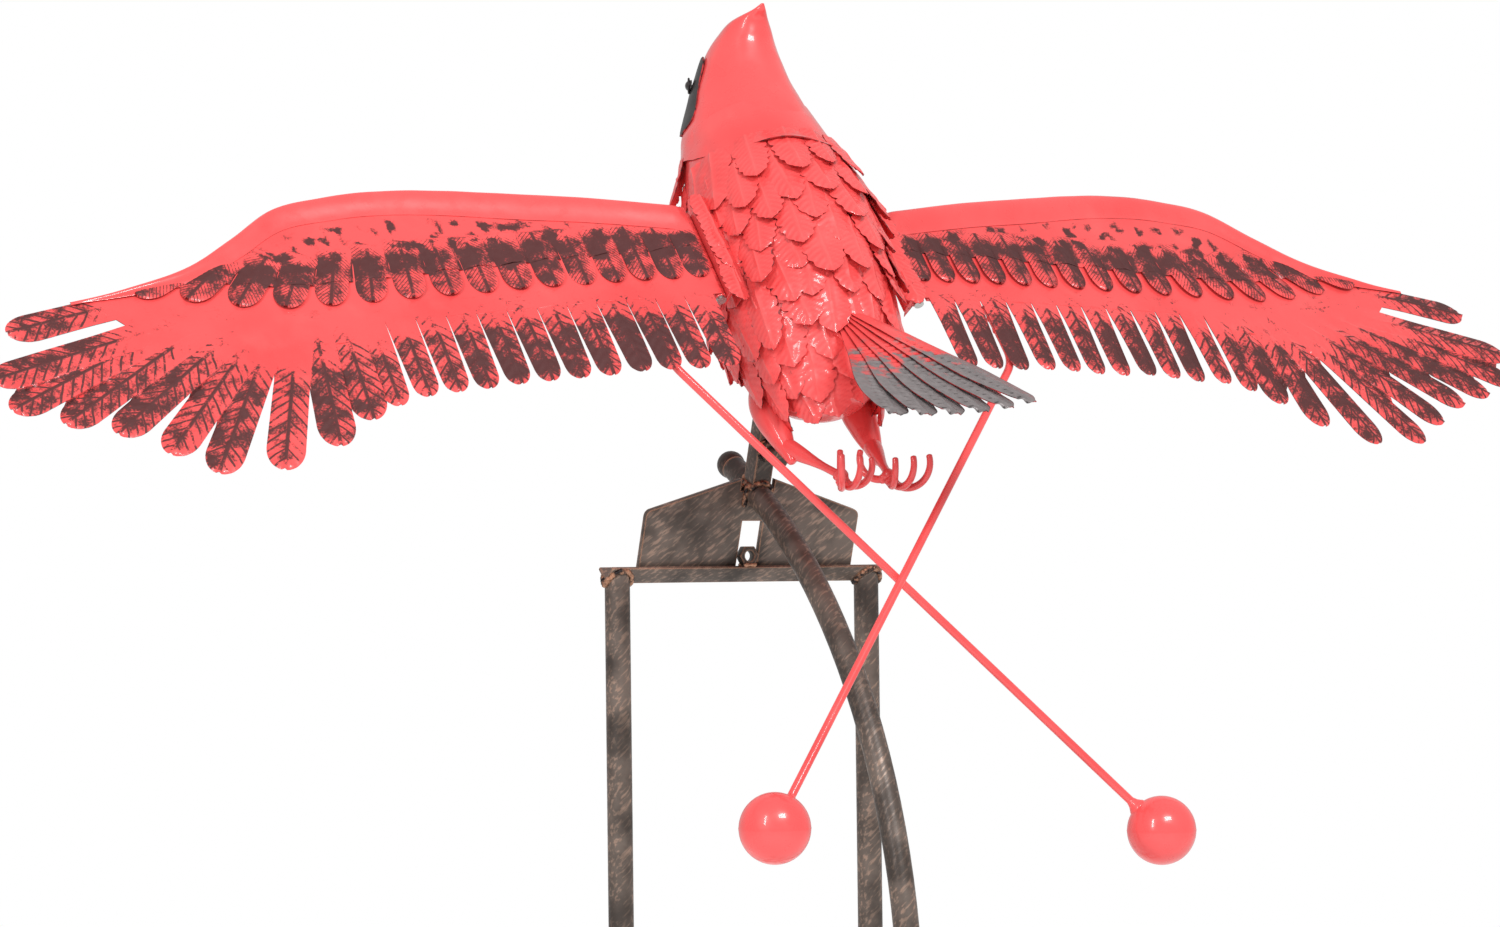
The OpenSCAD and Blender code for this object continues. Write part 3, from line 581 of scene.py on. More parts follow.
def triangulated(sheet, blades, spacing, coarse, reach, front=None):
    """Triangles of a sheet and its blades, as one surface with true outlines."""
    outlines = [sheet] + [blade.outline() for blade in blades]
    fill = []
    for k, blade in enumerate(blades):
        own = blade.dense(spacing, reach)
        for other in blades[:k]:
            own = own[~other.holds(own, spacing * 0.4)]
        fill.append(own)
    low, high = sheet.min(axis=0), sheet.max(axis=0)
    gx, gy = np.meshgrid(np.arange(low[0], high[0], coarse), np.arange(low[1], high[1], coarse))
    open_field = stacked(gx.ravel(), gy.ravel())
    open_field = open_field[in_polygon(open_field, sheet)]
    for blade in blades:
        open_field = open_field[~blade.holds(open_field, spacing)]
    points, loops = [], []
    for outline in outlines:
        loops.append(list(range(len(points), len(points) + len(outline))))
        points += outline.tolist()
    points += np.concatenate(fill + [open_field]).tolist()
    made = geometry.delaunay_2d_cdt([Vector(p) for p in points], [], loops, 1, 1e-4, False)
    flat, triangles = np.array(made[0]), np.array(made[2])
    middles = flat[triangles].mean(axis=1)
    keep = in_polygon(middles, sheet)
    for blade in blades:
        keep |= blade.holds(middles)
    if front is not None:
        keep &= middles[:, 1] > front(middles[:, 0]) + 6
    return flat, triangles[keep].tolist()


def lead_y(x):
    return hermite(x, LEAD_X, LEAD_Y)


def sheet_z(x, y):
    """Upper side of the main sheet before its feathers are embossed: a slight camber."""
    chord = np.clip((y - lead_y(x)) / CHORD, 0, 1)
    return SHEET_Z + SHEET_T + 2.6 * np.sin(pi * chord) * ramp(30, 130, x)


def wing_matrix(side, droop_degrees=None):
    """Wing frame to shared frame, from the flap joint's place and axis."""
    joint = joints[f"{side}_wing_flap"]
    sign = SIDES[side]
    chord = -sign * np.array(joint["axis"])
    flat_out, up = np.array((1.0, 0, 0)), np.cross((1.0, 0, 0), chord)
    droop = radians(WING_DROOP[side] if droop_degrees is None else droop_degrees)
    matrix = np.eye(4)
    matrix[:3, 0] = flat_out * cos(droop) - up * sin(droop)
    matrix[:3, 1] = chord
    matrix[:3, 2] = flat_out * sin(droop) + up * cos(droop)
    matrix[:3, 3] = np.array(joint["pos_m"]) / MM * (sign, 1, 1)
    return np.diag((sign, 1, 1, 1)) @ matrix


def panel_blades():
    blades = [Blade((x, y), turn, length, PRIMARY_W, PRIMARY_ROOT) for x, y, turn, length in PRIMARIES]
    for k in range(SECONDARY_COUNT):
        tip = (362 - SECONDARY_PITCH * k, 206 + 12 * exp(-k / 1.2))
        blades.append(Blade(tip, 90 + 0.2 * k, SECONDARY_L, SECONDARY_W, SECONDARY_ROOT))
    return blades


def panel_sheet():
    x = np.concatenate([np.arange(0, 640, 12), [640]])
    front = stacked(x, lead_y(x))
    roots = [(x - (length - ROOT_OVERLAP) * cos(radians(turn)),
              y - (length - ROOT_OVERLAP) * sin(radians(turn))) for x, y, turn, length in PRIMARIES]
    return np.concatenate([front, roots, [(355, SHEET_W + 2), (0, SHEET_W)]])


def covert_tip(x):
    return 92 - 40 * sin(pi / 2 * min(1, max(0, (x - 400) / 200)))**2


def covert_blades():
    blades = []
    for k in range(COVERT_COUNT - 1, -1, -1):
        x = 14 + 28 * k + 0.52 * k * k
        turn = 91 - 64 * max(0, (x - 240) / 323)**1.4
        tip = (x + 26 * cos(radians(turn)), covert_tip(x))
        blades.append(Blade(tip, turn, COVERT_L, 26 + 8 * x / 600))
    return blades


def covert_sheet():
    x = np.arange(10, 496, 12)
    front = stacked(x, lead_y(x) + 10)
    back = np.arange(490, 0, -30)
    inner = [(b, covert_tip(b) - 40 + b / 30) for b in back]
    return np.concatenate([[(2, 12)], front, inner, [(2, 56)]])


def wing_piece(side, node, matrix, points, faces, material, thickness, values=None):
    piece(f"{side}_{node}_formed", (moved(matrix, points), faces), material, f"{side}_wing",
          f"{side}_{node}", thickness, values, flip=side == "right")


def form_feathers(flat, blades, pitch, z, brush, form):
    """Embosses and paints the points of each blade in place, and returns their feather_uv.

    form(k, blade, along, across, black) gives the rise of a blade's points and their black.
    """
    uv = np.full((len(flat), 3), (400, 60, BARB_PITCH), float)
    owner = np.full(len(flat), -1)
    for k in range(len(blades) - 1, -1, -1):  # the first blade that holds a point owns it
        owner[blades[k].holds(flat, 0.3)] = k
    for k, blade in enumerate(blades):
        mine = owner == k
        along, across = blade.local(flat[mine])
        rise, brush[mine] = form(k, blade, along, across, brush[mine])
        z[mine] += rise
        uv[mine] = stacked(along, across, np.full(len(along), pitch))
    return uv


def wing_panel(side, blades, flat, faces, matrix):
    x, y = flat.T
    z, brush = sheet_z(x, y), np.zeros(len(flat))
    random.seed(11 if side == "left" else 12)

    def flight_feather(k, blade, along, across, black):
        lift, heavy = random.uniform(-1.6, 1.6), random.uniform(-0.14, 0.14)
        share = along / blade.length
        rise = blade.relief(along, across, 2.2, 0.5, 0.95, BARB_PITCH)
        rise += lift * (1 - ramp(0.15, 0.8, share))
        out = np.clip(blade.sideways(along, across), -1, 1)
        black = 0.3 + 0.36 * ramp(1, 16, along) * (1 - ramp(0.45, 0.8, share))
        black += heavy + (0.06 if side == "right" else 0) + 0.2 * ramp(7, 16, k)
        black -= 0.5 * ramp(0.55, 0.88, share)
        return rise, black - 0.14 * out - 0.08 * ramp(0.72, 1.0, np.abs(out))

    uv = form_feathers(flat, blades, BARB_PITCH, z, brush, flight_feather)
    wing_piece(side, "wing_panel", matrix, stacked(x, y, z), faces, FEATHER, SHEET_T,
               {"feather_uv": uv, "brush": brush})


def wing_coverts(side, blades, flat, faces, matrix):
    x, y = flat.T
    z = sheet_z(x, y) + 1.1
    smudge = np.array([noise.noise(Vector((a / 13, b / 17, SIDES[side] * 9))) for a, b in flat])
    above = np.array([covert_tip(a) for a in x]) - y
    brush = (0.08 + 0.9 * ramp(0.0, 0.3, smudge)) * (1 - ramp(92, 122, above))
    random.seed(21 if side == "left" else 22)

    def covert(k, blade, along, across, black):
        lift, heavy = random.uniform(0, 1.6), random.uniform(-0.1, 0.12)
        share = along / blade.length
        rise = blade.relief(along, across, 2.6, 0.22, 1.0, COVERT_PITCH)
        rise += lift * (1 - ramp(0.1, 0.7, share))
        out = blade.sideways(along, across)
        fresh = 0.5 + 0.14 * ramp(1, 8, along) + heavy + 0.34 * ramp(0.25, 0.6, share)
        fresh -= 0.2 * out + 0.1 * ramp(0.75, 1, np.abs(out))
        fade = 1 - ramp(0.7, 1.0, share)
        return rise, fresh * fade + black * (1 - fade)

    uv = form_feathers(flat, blades, COVERT_PITCH, z, brush, covert)
    brush *= np.maximum(ramp(26, 46, y - lead_y(x)), ramp(425, 465, x))
    wing_piece(side, "wing_coverts", matrix, stacked(x, y, z), faces, FEATHER, COVER_T,
               {"feather_uv": uv, "brush": brush})


def leading_edge(side, matrix):
    """Domed cover rolled over the front of the wing."""
    span = np.concatenate([np.linspace(3, 12, 5), np.linspace(18, 636, 118)])
    roll = np.linspace(0, 1, 18)
    x, t = np.repeat(span, len(roll)), np.tile(roll, len(span))
    width = (34 + 8 * ramp(0, 200, x)) * (1 - x / 1400) * (1 - 0.86 * ramp(440, 640, x))
    end = ramp(0, 14, x) * (1 - ramp(540, 640, x))
    y = lead_y(x) - 1.5 + width * t
    dome = np.sqrt(1 - (1 - np.minimum(t, 0.3) / 0.3)**2) * (1 - ramp(0.3, 1.0, t))
    lip = -9 * (1 - ramp(0, 0.16, t))
    z = sheet_z(x, y) + 0.7 + (5.6 * dome + lip) * (0.06 + 0.94 * end)
    points = stacked(x, y, z)
    points[:, 2] += rough(points, 30, 0.35, 3)
    faces = grid_faces(len(span), len(roll))
    wing_piece(side, "leading_edge", matrix, points, faces, RED_PAINT, SHEET_T)


def filleted(a, b, c, back):
    """Path a-b-c with the corner at b rounded, starting a distance back from it."""
    start, end = b + unit(a - b) * back, b + unit(c - b) * back
    t = np.linspace(0, 1, 10)[:, None]
    corner = (1 - t)**2 * start + 2 * t * (1 - t) * b + t**2 * end
    return np.concatenate([[a], corner, [c]])


def wing_weight(side, matrix):
    """Bent rod, its welds, and the ball with a faint spun seam."""
    low, high = box_mm(f"{side}_wing_ball")
    centre, radius = (low + high) / 2, (high[0] - low[0]) / 2
    body, under = f"{side}_wing", SHEET_Z - 4.5
    start, bend = moved(matrix, [(ROD_X, ROD_FROM, under), (ROD_X, ROD_BEND, under)])
    toward = unit(bend - centre)
    path = filleted(start, bend, centre + toward * (radius - 4), 16)
    piece(f"{side}_wing_rod_formed", sweep(path, ROD_R, 24), RED_PAINT, body, f"{side}_wing_rod")
    collar = [centre + toward * (radius + s) for s in (-2.5, 0, 2, 4.5, 7.5)]
    lumps = [sweep(collar, [9.5, 8.6, 7.0, 5.4, 4.3], 20)]
    lumps += [blob(moved(matrix, [(ROD_X + dx, y, under + 2.5)])[0], 4.6, y + dx)
              for y in (121, 134, 150) for dx in (-3, 3)]
    piece(f"{side}_wing_rod_welds", joined(lumps), RED_PAINT, body)
    rows, columns = 49, 72
    ball = unit_ball(np.linspace(0.01, pi - 0.01, rows), columns)
    seam = 0.22 * np.exp(-(ball[:, 2] / 0.03)**2)
    ball *= (radius - 0.1 + seam)[:, None]
    piece(f"{side}_wing_ball_spun", (ball + centre, tube_faces(rows, columns, order=-1)), RED_PAINT,
          body, f"{side}_wing_ball")


def build_wings():
    blades, lobes = panel_blades(), covert_blades()
    panel = triangulated(panel_sheet(), blades, 2.2, 8, 0.9)
    cover = triangulated(covert_sheet(), lobes, 1.7, 5, 0.95, lead_y)
    for side in SIDES:
        matrix = wing_matrix(side)
        wing_panel(side, blades, *panel, matrix)
        wing_coverts(side, lobes, *cover, matrix)
        leading_edge(side, matrix)
        wing_weight(side, matrix)


# ---- body

# Spine frame: +Z up the spine, +Y out of the bird's back, as in the CAD
SPINE_FOOT, SPINE_LEAN = (0, 165, 191.5), 30.3
SPINE = translation(*(ROCK_AXIS + SPINE_FOOT)) @ rotation("X", SPINE_LEAN)
BODY_R = 91
PROFILE_Z = [-40, -34, -20, 0, 20, 45, 75, 110, 150, 190, 225, 255, 285]
PROFILE_R = [0.10, 0.36, 0.56, 0.72, 0.82, 0.91, 0.965, 0.99, 1.0, 0.97, 0.90, 0.81, 0.72]
LEAF_L, LEAF_W = 50, 33
TOP_ROW, ROW_PITCH = 266, 28
ROWS = {"collar_feathers": (0, 1), "shoulder_feathers": (2, 3), "mantle_feathers": (4, 5),
        "back_feathers": (6, 7), "rump_feathers": (8, 9, 10)}


def shell_r(z):
    return BODY_R * float(np.interp(z, PROFILE_Z, PROFILE_R))


def leaf(length, width, curl, lobes, seed):
    """One embossed body feather: root at the origin, tip towards -Z, face towards +X."""
    rows, columns = 27, 17
    s, q = unit_grid(rows, columns, 0.9)
    off = np.abs(q)
    taper = np.sqrt(np.clip(1 - (np.clip(s - 0.45, 0, 1) / 0.56)**2, 0.0, 1))
    half = width / 2 * np.minimum(1, 0.62 + 1.6 * s) * taper
    scallop = np.abs(np.sin(pi * (s * lobes + seed % 1)))
    half *= 1 - 0.3 * (1 - scallop) ** 2 * ramp(0.3, 1, off) * ramp(0.2, 0.4, s)
    across = half * q
    drop = s * length + 2.5 * (1 - off) * ramp(0.8, 1, s)
    barbs = np.cos(2 * pi * (s * lobes * 1.5 - off * 1.5))
    shaft = np.exp(-(across / 1.5)**2) * (1 - ramp(0.85, 1, s))
    ridge = 0.5 * barbs * ramp(0.06, 0.3, off) * (1 - ramp(0.85, 1, off))
    out = -4.2 * q**2 * half / (width / 2) + ridge + 1.1 * shaft + curl * s**2
    points = stacked(out, across, -drop)
    points[:, 0] += rough(points, 14, 1.3, seed)
    # Rim value for the paint: dark cut edges and painted shadow along the sides and tip.
    rim = ramp(0.9, 1.0, off) * 0.45 + ramp(0.93, 1, s) * 0.4
    # The third value paints the leaf: paler on the veins and shaft, painted shade in the grooves.
    return points, grid_faces(rows, columns), 0.5 + 0.9 * ridge + 0.5 * shaft, rim


def leaf_spots(row):
    """Places of one ring of leaves, as matrices, and how far each faces outwards."""
    z = TOP_ROW - ROW_PITCH * row + (ROW_PITCH / 2 if row == 0 else 0)
    r = shell_r(z)
    count = floor(2 * pi * (r + 2.6) / (LEAF_W + 3))
    slope = max(-28, degrees(atan2(shell_r(z - LEAF_L) - r, LEAF_L)))
    for i in range(count):
        turn = 90 + 360 * (i + (row % 2) / 2) / count
        outward, backward = cos(radians(turn)), sin(radians(turn))
        at_hinge = abs(outward) > 0.88 and 80 < z < 260
        at_post = backward < -0.86 and z < 110
        under_hood = row == 0 and backward > -0.3
        at_legs = row == 10 and backward < -0.2
        if not (at_post or under_hood or at_legs):
            flare = 6 + random.uniform(-2, 3) + 7 * abs(outward) * random.random()
            flare = 2 if at_hinge else flare
            yield (SPINE @ rotation("Z", turn + random.uniform(-3, 3)) @ translation(r + 2.4, 0, z)
                   @ rotation("Y", -slope - flare) @ rotation("X", random.uniform(-8, 8))), outward


def hinge_leaf_spots():
    """Ragged leaves that lap from the body over the top of each wing hinge."""
    for side, sign in SIDES.items():
        for y in (-8, 15, 39, 62, 84):
            lay = np.array([(0, -1, 0, 0), (0, 0, -1, 0), (1, 0, 0, 0), (0, 0, 0, 1)])
            height = 17.5 if y < 40 else 16
            yield (wing_matrix(side, 0) @ translation(-15 + random.uniform(-2, 0), y, height) @ lay
                   @ rotation("Z", random.uniform(11, 16)) @ rotation("X", random.uniform(-5, 5)))


def body_feathers():
    random.seed(5)
    for node, rows in ROWS.items():
        plates = []
        for row in rows:
            for k, (matrix, outward) in enumerate(leaf_spots(row)):
                length = LEAF_L * random.uniform(1.05, 1.42) * (1 if row < 10 else 0.8)
                width = LEAF_W * random.uniform(1.08, 1.4)
                points, faces, ridge, rim = leaf(
                    length, width, random.uniform(-1.5, 2.5), random.choice((6, 7)), row * 40 + k + 0.37)
                chipped = abs(outward) > 0.8 and random.random() < 0.3
                plates.append((moved(matrix, points), faces, ridge, rim + 0.3 * chipped))
        if node == "shoulder_feathers":
            for matrix in hinge_leaf_spots():
                points, faces, ridge, rim = leaf(
                    LEAF_L * random.uniform(0.9, 1.1), 31, random.uniform(-1, 1), 6, random.random() * 90)
                # The added 0.15 darkens these rims further: painted shade over the hinge.
                plates.append((moved(matrix, points), faces, ridge, rim + 0.15))
        embossed(node, plates, RED_LEAF, COVER_T)


# ---- head

HOOD_Y = [44, 26.5, 15.7, 9.5, 9.5, 16.5, 30, 46, 52]
HOOD_Z = [412, 437, 467, 493, 517, 537, 553, 561, 566]
HOOD_DEPTH = [87.5, 79.5, 69.2, 55.5, 42.5, 29, 16, 6, 1.5]
HOOD_WIDTH = [72, 64, 53, 43.5, 35.5, 27, 16, 6, 1.5]
HEM_ROWS = 15
# Mask: middle height, half height, how far back it reaches
MASK_Z, MASK_HALF, MASK_BACK = 477, 37, 8


def hood_ring(height, grow=0.0):
    """Centre y, half depth and half width of the hood at a height."""
    return (hermite(height, HOOD_Z, HOOD_Y), hermite(height, HOOD_Z, HOOD_DEPTH) + grow,
            hermite(height, HOOD_Z, HOOD_WIDTH) + grow)


def hood():
    rows, columns = 70, 96
    row, t = np.repeat(np.arange(rows), columns), np.tile(circle(columns), rows)
    height = HOOD_Z[0] + (HOOD_Z[-1] - HOOD_Z[0]) * (row / (rows - 1)) ** 0.9
    centre, depth, width = hood_ring(height)
    low = np.maximum(0, 1 - row / HEM_ROWS)
    hem = low**2 * (2.5 * np.sin(3 * t + 1) + 1.8 * np.sin(5 * t) - 4 + 16 * np.maximum(0, np.cos(t)))
    x, y = (width + 5 * low) * np.sin(t), (depth + 2 * low) * np.cos(t)
    points = stacked(x, centre + y, height + hem)
    lengths = np.hypot(x, y)
    dents = rough(points, 38, 1.6, 1) + rough(points, 15, 0.5, 2)
    dents *= ramp(4, 25, lengths) / np.maximum(lengths, 1)
    points += stacked(x * dents, y * dents, 0 * dents)
    faces = tube_faces(rows, columns, first=False)
    piece("hood_formed", (points + ROCK_AXIS, faces), RED_PAINT, "rocker", "hood", 1.2, flip=True)


def face_mask():
    rows, columns = 26, 44
    s, side = unit_grid(rows, columns)
    s = 2 * s - 1
    height = MASK_Z + MASK_HALF * s
    centre, depth, width = hood_ring(height, 4 - 1.8 * ramp(438, 464, height))
    edge = np.arccos(np.clip((MASK_BACK - centre) / depth, -1, 1)) + 0.28 * s**6 + 0.08 * np.sin(3 * s)
    t = pi + side * (pi - edge)
    points = stacked(width * np.sin(t), centre + depth * np.cos(t), height + 3 * side**2 * s)
    points[:, 1] += rough(points, 16, 0.8, 4)
    piece("face_mask_formed", (points + ROCK_AXIS, grid_faces(rows, columns)), BLACK_PAINT, "rocker",
          "face_mask", 1.4, flip=True)


def beak(name, sign, length, depth, root_z, hook, fullness):
    """Half of a short cone beak, curved down to its point; sign is -1 for the lower half."""
    rows, columns = 24, 22
    s, q = unit_grid(rows, columns)
    t, drop = pi * (q + 1) / 2, radians(14)
    r = depth * (1 - s) ** 0.72 + 0.8
    z = root_z - length * s * sin(drop) - hook * s**2 + sign * fullness * r * np.sin(t) ** 0.9
    points = stacked(0.86 * r * np.cos(t), -44 - length * s * cos(drop), z)
    faces = tube_faces(rows, columns, order=sign)
    piece(f"{name}_formed", (points + ROCK_AXIS, faces), RED_PAINT, "rocker", name)


def eyes():
    low, high = box_mm("eyes")
    radius = (high[2] - low[2]) / 2
    rows, columns = 16, 32
    beads, rims = [], []
    for sign in SIDES.values():
        centre = np.array((sign * (high[0] - radius), (low[1] + high[1]) / 2, (low[2] + high[2]) / 2))
        out = unit(np.array((sign * 0.88, -0.47, 0)))
        side, up = np.cross(out, (0, 0, 1)), np.array((0, 0, 1.0))
        dome = [centre + radius * (sin(a) * (cos(t) * side + sin(t) * up) + cos(a) * out)
                for a in np.radians(np.linspace(100, 2, rows)) for t in circle(columns)]
        beads.append((dome, tube_faces(rows, columns, first=False, order=-1)))
        ring = [centre + (radius + 1.2) * (cos(t) * side + sin(t) * up) + out * 2.2
                for t in circle(41, closed=True)]
        rims.append(sweep(ring, 1.1, 10))
    piece("eyes_glass", joined(beads), GLASS_EYE, "rocker", "eyes")
    piece("eye_rims", joined(rims), BLACK_PAINT, "rocker")


# ---- tail

TAIL = translation(*(ROCK_AXIS + (0, 203, 241))) @ rotation("X", -25)
TAIL_L, TAIL_COUNT, TAIL_FAN = 244, 6, 36
TAIL_STEP, TAIL_ROLL, COMB_PITCH = 2.6, -5, 9.0


def tail_feather(number):
    """One long feather: root at the origin, tip towards +Y, with short combed ribs on one side."""
    rows, columns = 250, 21
    s, q = unit_grid(rows, columns)
    left = hermite(s, [0, 0.37, 0.86, 0.96, 1], [9, 16, 19, 14, 6])
    right = hermite(s, [0, 0.37, 0.86, 0.95, 1], [9, 16, 19, 12, 3])
    across = np.where(q < 0, q * left, q * right)
    along = TAIL_L * s - 5 * ramp(0.9, 1, s) * q**2
    wave = np.cos(2 * pi * along / COMB_PITCH)
    combed = ramp(2.5, 4, np.abs(across)) * (1 - ramp(9, 11.5, np.abs(across)))
    combed *= ramp(0.3, 0.36, s)
    shaft = np.exp(-(across / 1.4)**2) * ramp(0.05, 0.3, s)
    height = 1.6 * (1 - q**2) + 1.1 * wave * combed * np.where(across > 0, 1, 0.12) + 0.9 * shaft
    points = stacked(across, along, height)
    points[:, 2] += rough(points, 40, 0.7, number)
    # ridge is low in the grooves between the combed ribs, where the tail paint puts painted shade.
    ridge = 1 - combed * np.where(across > 0, 1, 0.3) * (0.5 - 0.5 * wave)
    # Painted shadow: ridge lowered along the left edge, where the feathers overlap.
    ridge -= 0.9 * ramp(0.35, 0, 1 + q) * ramp(0.1, 0.3, s)
    return points, grid_faces(rows, columns), ridge, ramp(0.0, 0.85, s)


def tail():
    plates = []
    for i in range(TAIL_COUNT):
        points, *rest = tail_feather(i)
        turn = TAIL_FAN * (0.5 - i / (TAIL_COUNT - 1))
        lay = translation(0, 0, (TAIL_COUNT - 1 - i) * TAIL_STEP) @ rotation("Z", turn)
        plates.append((moved(TAIL @ lay @ rotation("Y", TAIL_ROLL), points), *rest))
    embossed("tail_feathers", plates, TAIL_PAINT, SHEET_T)


# ---- legs

THIGH_TOP, KNEE, ANKLE = (np.array(p, float) for p in ((52, 116, 186), (49, 178, 112), (27, 236, 92)))
THIGH_R, SHANK_R, TOE_R = 17, 9.2, 3.9


def leg(side):
    """Thigh, shank and clawed foot."""
    sign = SIDES[side]
    top, knee, start, ankle = (point * (sign, 1, 1) + ROCK_AXIS
                               for point in (THIGH_TOP, KNEE, KNEE - (0, 8, -10), ANKLE))
    s = np.linspace(0.004, 1, 44)
    radii = THIGH_R * np.sin(pi * s ** 0.72) * (1 - 0.3 * s) + 5 * s
    reach = np.linalg.norm(knee - top) + 6
    points, faces = sweep(top + np.outer(s * reach, unit(knee - top)), radii, 48)
    points += (points - points.mean(axis=0)) * rough(points, 22, 0.03, sign)[:, None]
    piece(f"{side}_thigh_formed", (points, faces), RED_PAINT, "rocker", f"{side}_thigh")
    t = np.linspace(0, 1, 24)
    radii = SHANK_R - (SHANK_R - TOE_R) * ramp(0, 0.75, t)
    piece(f"{side}_shank_forged", sweep(start + np.outer(t, ankle - start), radii, 24), RED_PAINT,
          "rocker", f"{side}_shank")
    toes = [(90 - sign * (4 + 26 * k), 22 + 2 * k, 30, 165) for k in (-1, 0, 1)]
    toes.append((90 + sign * 150, 21, 58, 140))
    parts = [blob(ankle, 7.2, 3 + sign)]
    for spread, curl, lift, sweep_angle in toes:
        share = np.linspace(0, 1, 26)
        a = np.radians(180 + lift + sweep_angle * share)
        out = curl * (cos(radians(lift)) + np.cos(a))
        up = curl * (sin(radians(lift)) + np.sin(a))
        turn = radians(spread)
        path = stacked(out * cos(turn), out * sin(turn), up) + ankle
        parts.append(sweep(path, TOE_R - 0.9 * share ** 1.5, 16))
        parts.append(blob(path[3], 5.2, spread))
    piece(f"{side}_foot_forged", joined(parts), RED_PAINT, "rocker", f"{side}_foot")


# ---- stand and rocker

NECK = translation(*ROCK_AXIS) @ rotation("X", -18)
# Along the neck: where it meets the tube, and the clamp bolt. The tube's radius, and half the neck's
# side with room for its welds.
SEAT_H, CLAMP_H, TUBE_R, NECK_HALF = 85.7, 132, 12.5, 10.8


def post_ring(side, proud, count):
    """Points (x, y) round a post, a little outside it."""
    low, high = box_mm(f"{side}_post")
    centre, radius = (low[0] + high[0]) / 2, (high[0] - low[0]) / 2 + proud
    return [(centre + radius * cos(t), radius * sin(t)) for t in circle(count, closed=True)]


def post_welds():
    """Saddle-shaped beads where the posts meet the trough."""
    corner_z = box_mm("trough")[0][2]
    for side, sign in SIDES.items():
        path = [(x, y, corner_z + abs(y) - 1.4) for x, y in post_ring(side, 1.2, 60)]
        piece(f"{side}_post_weld", weld_bead(path, 2.6, seed=sign), WELD, "stand")


def rocker_welds():
    """Beads round the foot of the neck, along the tube's seat, and at the clamp nut."""
    corners = NECK_HALF * np.array([(1, -1), (1, 1), (-1, 1), (-1, -1), (1, -1)])
    path = [(x, y, SEAT_H + sqrt(max(TUBE_R**2 - x * x, 30)) + 0.8 - 0.12 * y)
            for a, b in zip(corners, corners[1:]) for x, y in np.linspace(a, b, 12, endpoint=False)]
    beads = [weld_bead(moved(NECK, path), 2.5, seed=3)]
    for sign in SIDES.values():
        for face in (-4.2, 4.2):
            line = np.linspace((sign * 13.2, face, 72), (sign * 13.2, face, 92), 8)
            beads.append(weld_bead(moved(NECK, line), 2.4, seed=sign * face))
    ring = [(10.6 * cos(t), NECK_HALF, CLAMP_H + 10.6 * sin(t)) for t in circle(40, closed=True)]
    beads.append(weld_bead(moved(NECK, ring), 1.4, seed=9))
    piece("rocker_welds", joined(beads), WELD, "rocker")


def keeper_welds():
    low, high = box_mm("keeper_nut")
    foot = low[2] + 0.6
    beads = [weld_bead(np.linspace((-6.5, y, foot), (6.5, y, foot), 9), 1.7, seed=y)
             for y in (low[1] - 0.4, high[1] + 0.2)]
    piece("keeper_welds", joined(beads), WELD, "stand")


def foot_welds():
    """Beads round the posts' feet and where the side bars meet the floor rails."""
    beads = []
    for side, sign in SIDES.items():
        foot = box_mm(f"{side}_post")[0][2] + 1
        beads.append(weld_bead([(x, y, foot) for x, y in post_ring(side, 0.8, 50)], 2.6, seed=sign + 4))
        low, high = box_mm(f"{side}_side_bar")
        for y in (low[1], high[1]):
            line = np.linspace((low[0] + 2, y, high[2] + 0.2), (high[0] - 2, y, high[2] + 0.2), 12)
            beads.append(weld_bead(line, 1.6, seed=y))
    piece("foot_welds", joined(beads), WELD, "stand")


ROUNDED_NODES = {"trough", "rocker_plate", "foot_plates", "left_side_bar", "right_side_bar",
                 "front_rail", "rear_rail", "rail_end_caps", "neck_socket", "clamp_nut",
                 "clamp_bolt", "base_bolts", "keeper_nut", "left_hinge_leaf", "right_hinge_leaf"}


def finish_cad_nodes():
    """Materials and small rounded edges on the CAD nodes that stay in view."""
    paints = RED_PAINT, FEATHER, BLACK_PAINT, BRONZE_PAINT, ZINC, PLASTIC, GLASS_EYE
    by_slot = {SLOT_OF[paint]: paint for paint in paints}
    slots = {part["node"]: part["material_slot"] for part in frame["record"]["subparts"]}
    for name, obj in frame["nodes"].items():
        obj.data.materials.clear()
        obj.data.materials.append(by_slot[slots[name]])
        if obj.hide_render:
            continue
        if "custom_normal" in obj.data.attributes:
            obj.data.attributes.remove(obj.data.attributes["custom_normal"])
        weld = obj.modifiers.new("Weld", "WELD")
        weld.merge_threshold = 0.01 * MM
        if name in ROUNDED_NODES:
            bevel = obj.modifiers.new("Rounded edges", "BEVEL")
            bevel.width, bevel.segments = 0.7 * MM, 2
            bevel.limit_method, bevel.angle_limit = "ANGLE", radians(40)
        smooth(obj, 35)


# ---- studio

PIVOT = Vector(ROCK_AXIS * MM)
# Half the floor's side in metres, the light from all round, and the camera's place and lens
FLOOR, AMBIENT = 6.0, 0.62
CAMERA_DISTANCE, CAMERA_AZIMUTH, CAMERA_DROP, CAMERA_ROLL = 5.0, 150, 0.0085, -0.7
CAMERA_AIM, CAMERA_LENS = (-0.007, 0.004, 1.390), 120


def area_light(name, offset, size, power):
    """A light aimed at the rocking axis."""
    data = bpy.data.lights.new(name, "AREA")
    data.shape, (data.size, data.size_y), data.energy = "RECTANGLE", size, power
    lamp = linked(name, data)
    lamp.location = PIVOT + Vector(offset)
    lamp.rotation_euler = (PIVOT - lamp.location).to_track_quat("-Z", "Y").to_euler()
    lamp.visible_camera = False


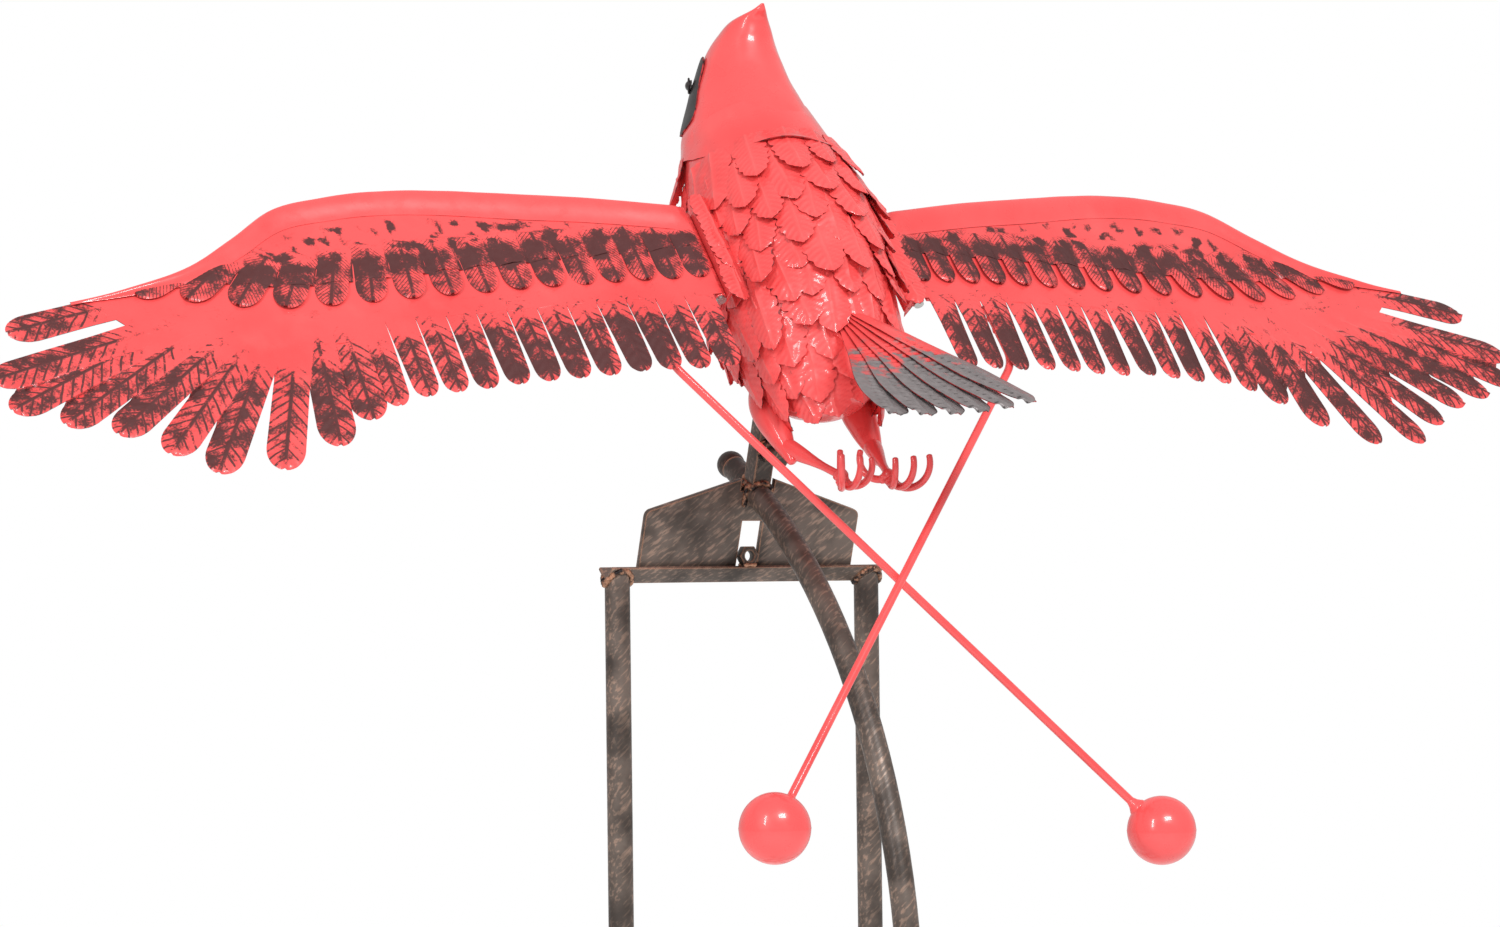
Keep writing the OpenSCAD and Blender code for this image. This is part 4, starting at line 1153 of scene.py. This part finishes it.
def studio():
    scene = bpy.context.scene
    mesh = bpy.data.meshes.new("floor")
    corners = [(FLOOR * x, FLOOR * y, 0) for x, y in ((-1, -1), (1, -1), (1, 1), (-1, 1))]
    mesh.from_pydata(corners, [], [(0, 1, 2, 3)])
    mesh.materials.append(painted(None, "pale_floor", pale_floor, roughness=0.8))
    linked("floor", mesh)

    world = bpy.data.worlds.new("white_studio")
    world.use_nodes = True
    nodes, links = world.node_tree.nodes, world.node_tree.links
    backdrop, ambient = nodes["Background"], nodes.new("ShaderNodeBackground")
    for background, strength in ((backdrop, 1.0), (ambient, AMBIENT)):
        background.inputs["Color"].default_value = WHITE
        background.inputs["Strength"].default_value = strength
    seen, choice = nodes.new("ShaderNodeLightPath"), nodes.new("ShaderNodeMixShader")
    links.new(seen.outputs["Is Camera Ray"], choice.inputs[0])
    links.new(ambient.outputs[0], choice.inputs[1])
    links.new(backdrop.outputs[0], choice.inputs[2])
    links.new(choice.outputs[0], nodes["World Output"].inputs[0])
    scene.world = world
    scene.view_settings.view_transform = "Standard"

    area_light("key", (0.2, 3.6, 2.6), (1.6, 1.0), 120)
    area_light("strip", (3.4, 2.0, 1.6), (0.35, 2.0), 55)

    data = bpy.data.cameras.new("camera")
    data.lens = CAMERA_LENS
    camera = linked("camera", data)
    azimuth = radians(CAMERA_AZIMUTH)
    camera.location = PIVOT + Vector((sin(azimuth), -cos(azimuth), 0)) * CAMERA_DISTANCE
    camera.location.z -= CAMERA_DROP
    look = (Vector(CAMERA_AIM) - camera.location).to_track_quat("-Z", "Y").to_matrix().to_4x4()
    roll = Matrix.Rotation(radians(CAMERA_ROLL), 4, "Z")
    camera.rotation_euler = (look @ roll).to_euler()
    scene.camera = camera


# ---- assembly

RED_PAINT = painted("red_paint", "red_enamel", enamel, coat=0.55)
RED_LEAF = painted("red_paint", "red_leaf_enamel", leaf_enamel, coat=0.35)
FEATHER = painted("brushed_feathers", "brushed_feather_paint", brushed_feather, coat=0.25)
CUT_EDGE = painted(None, "cut_sheet_edge", cut_edge, roughness=0.55)
BRONZE_PAINT = painted("bronze_paint", "bronze_paint_brushed", brushed_bronze)
WELD = painted("bronze_paint", "painted_weld_bronze", weld_bronze, roughness=0.42, metallic=0.3)
BLACK_PAINT = painted("black_paint", "satin_black_paint", satin_black, roughness=0.4)
PLASTIC = painted("black_plastic", "moulded_plastic", plastic, roughness=0.55)
ZINC = painted("zinc_steel", "zinc_plate", zinc_plate, roughness=0.3, metallic=1.0)
GLASS_EYE = painted("gloss_black", "glass_eye", glass_eye, roughness=0.06, coat=1.0)
TAIL_PAINT = painted("brushed_feathers", "brushed_tail_paint", brushed_tail, metallic=0.15, coat=0.15)

build_wings()
body_feathers()
hood()
face_mask()
beak("upper_beak", 1, length=42, depth=15, root_z=478.4, hook=6, fullness=1.05)
beak("lower_beak", -1, length=33, depth=11, root_z=477.2, hook=1.5, fullness=0.62)
eyes()
tail()
for side_name in SIDES:
    leg(side_name)
post_welds()
rocker_welds()
keeper_welds()
foot_welds()
finish_cad_nodes()
studio()
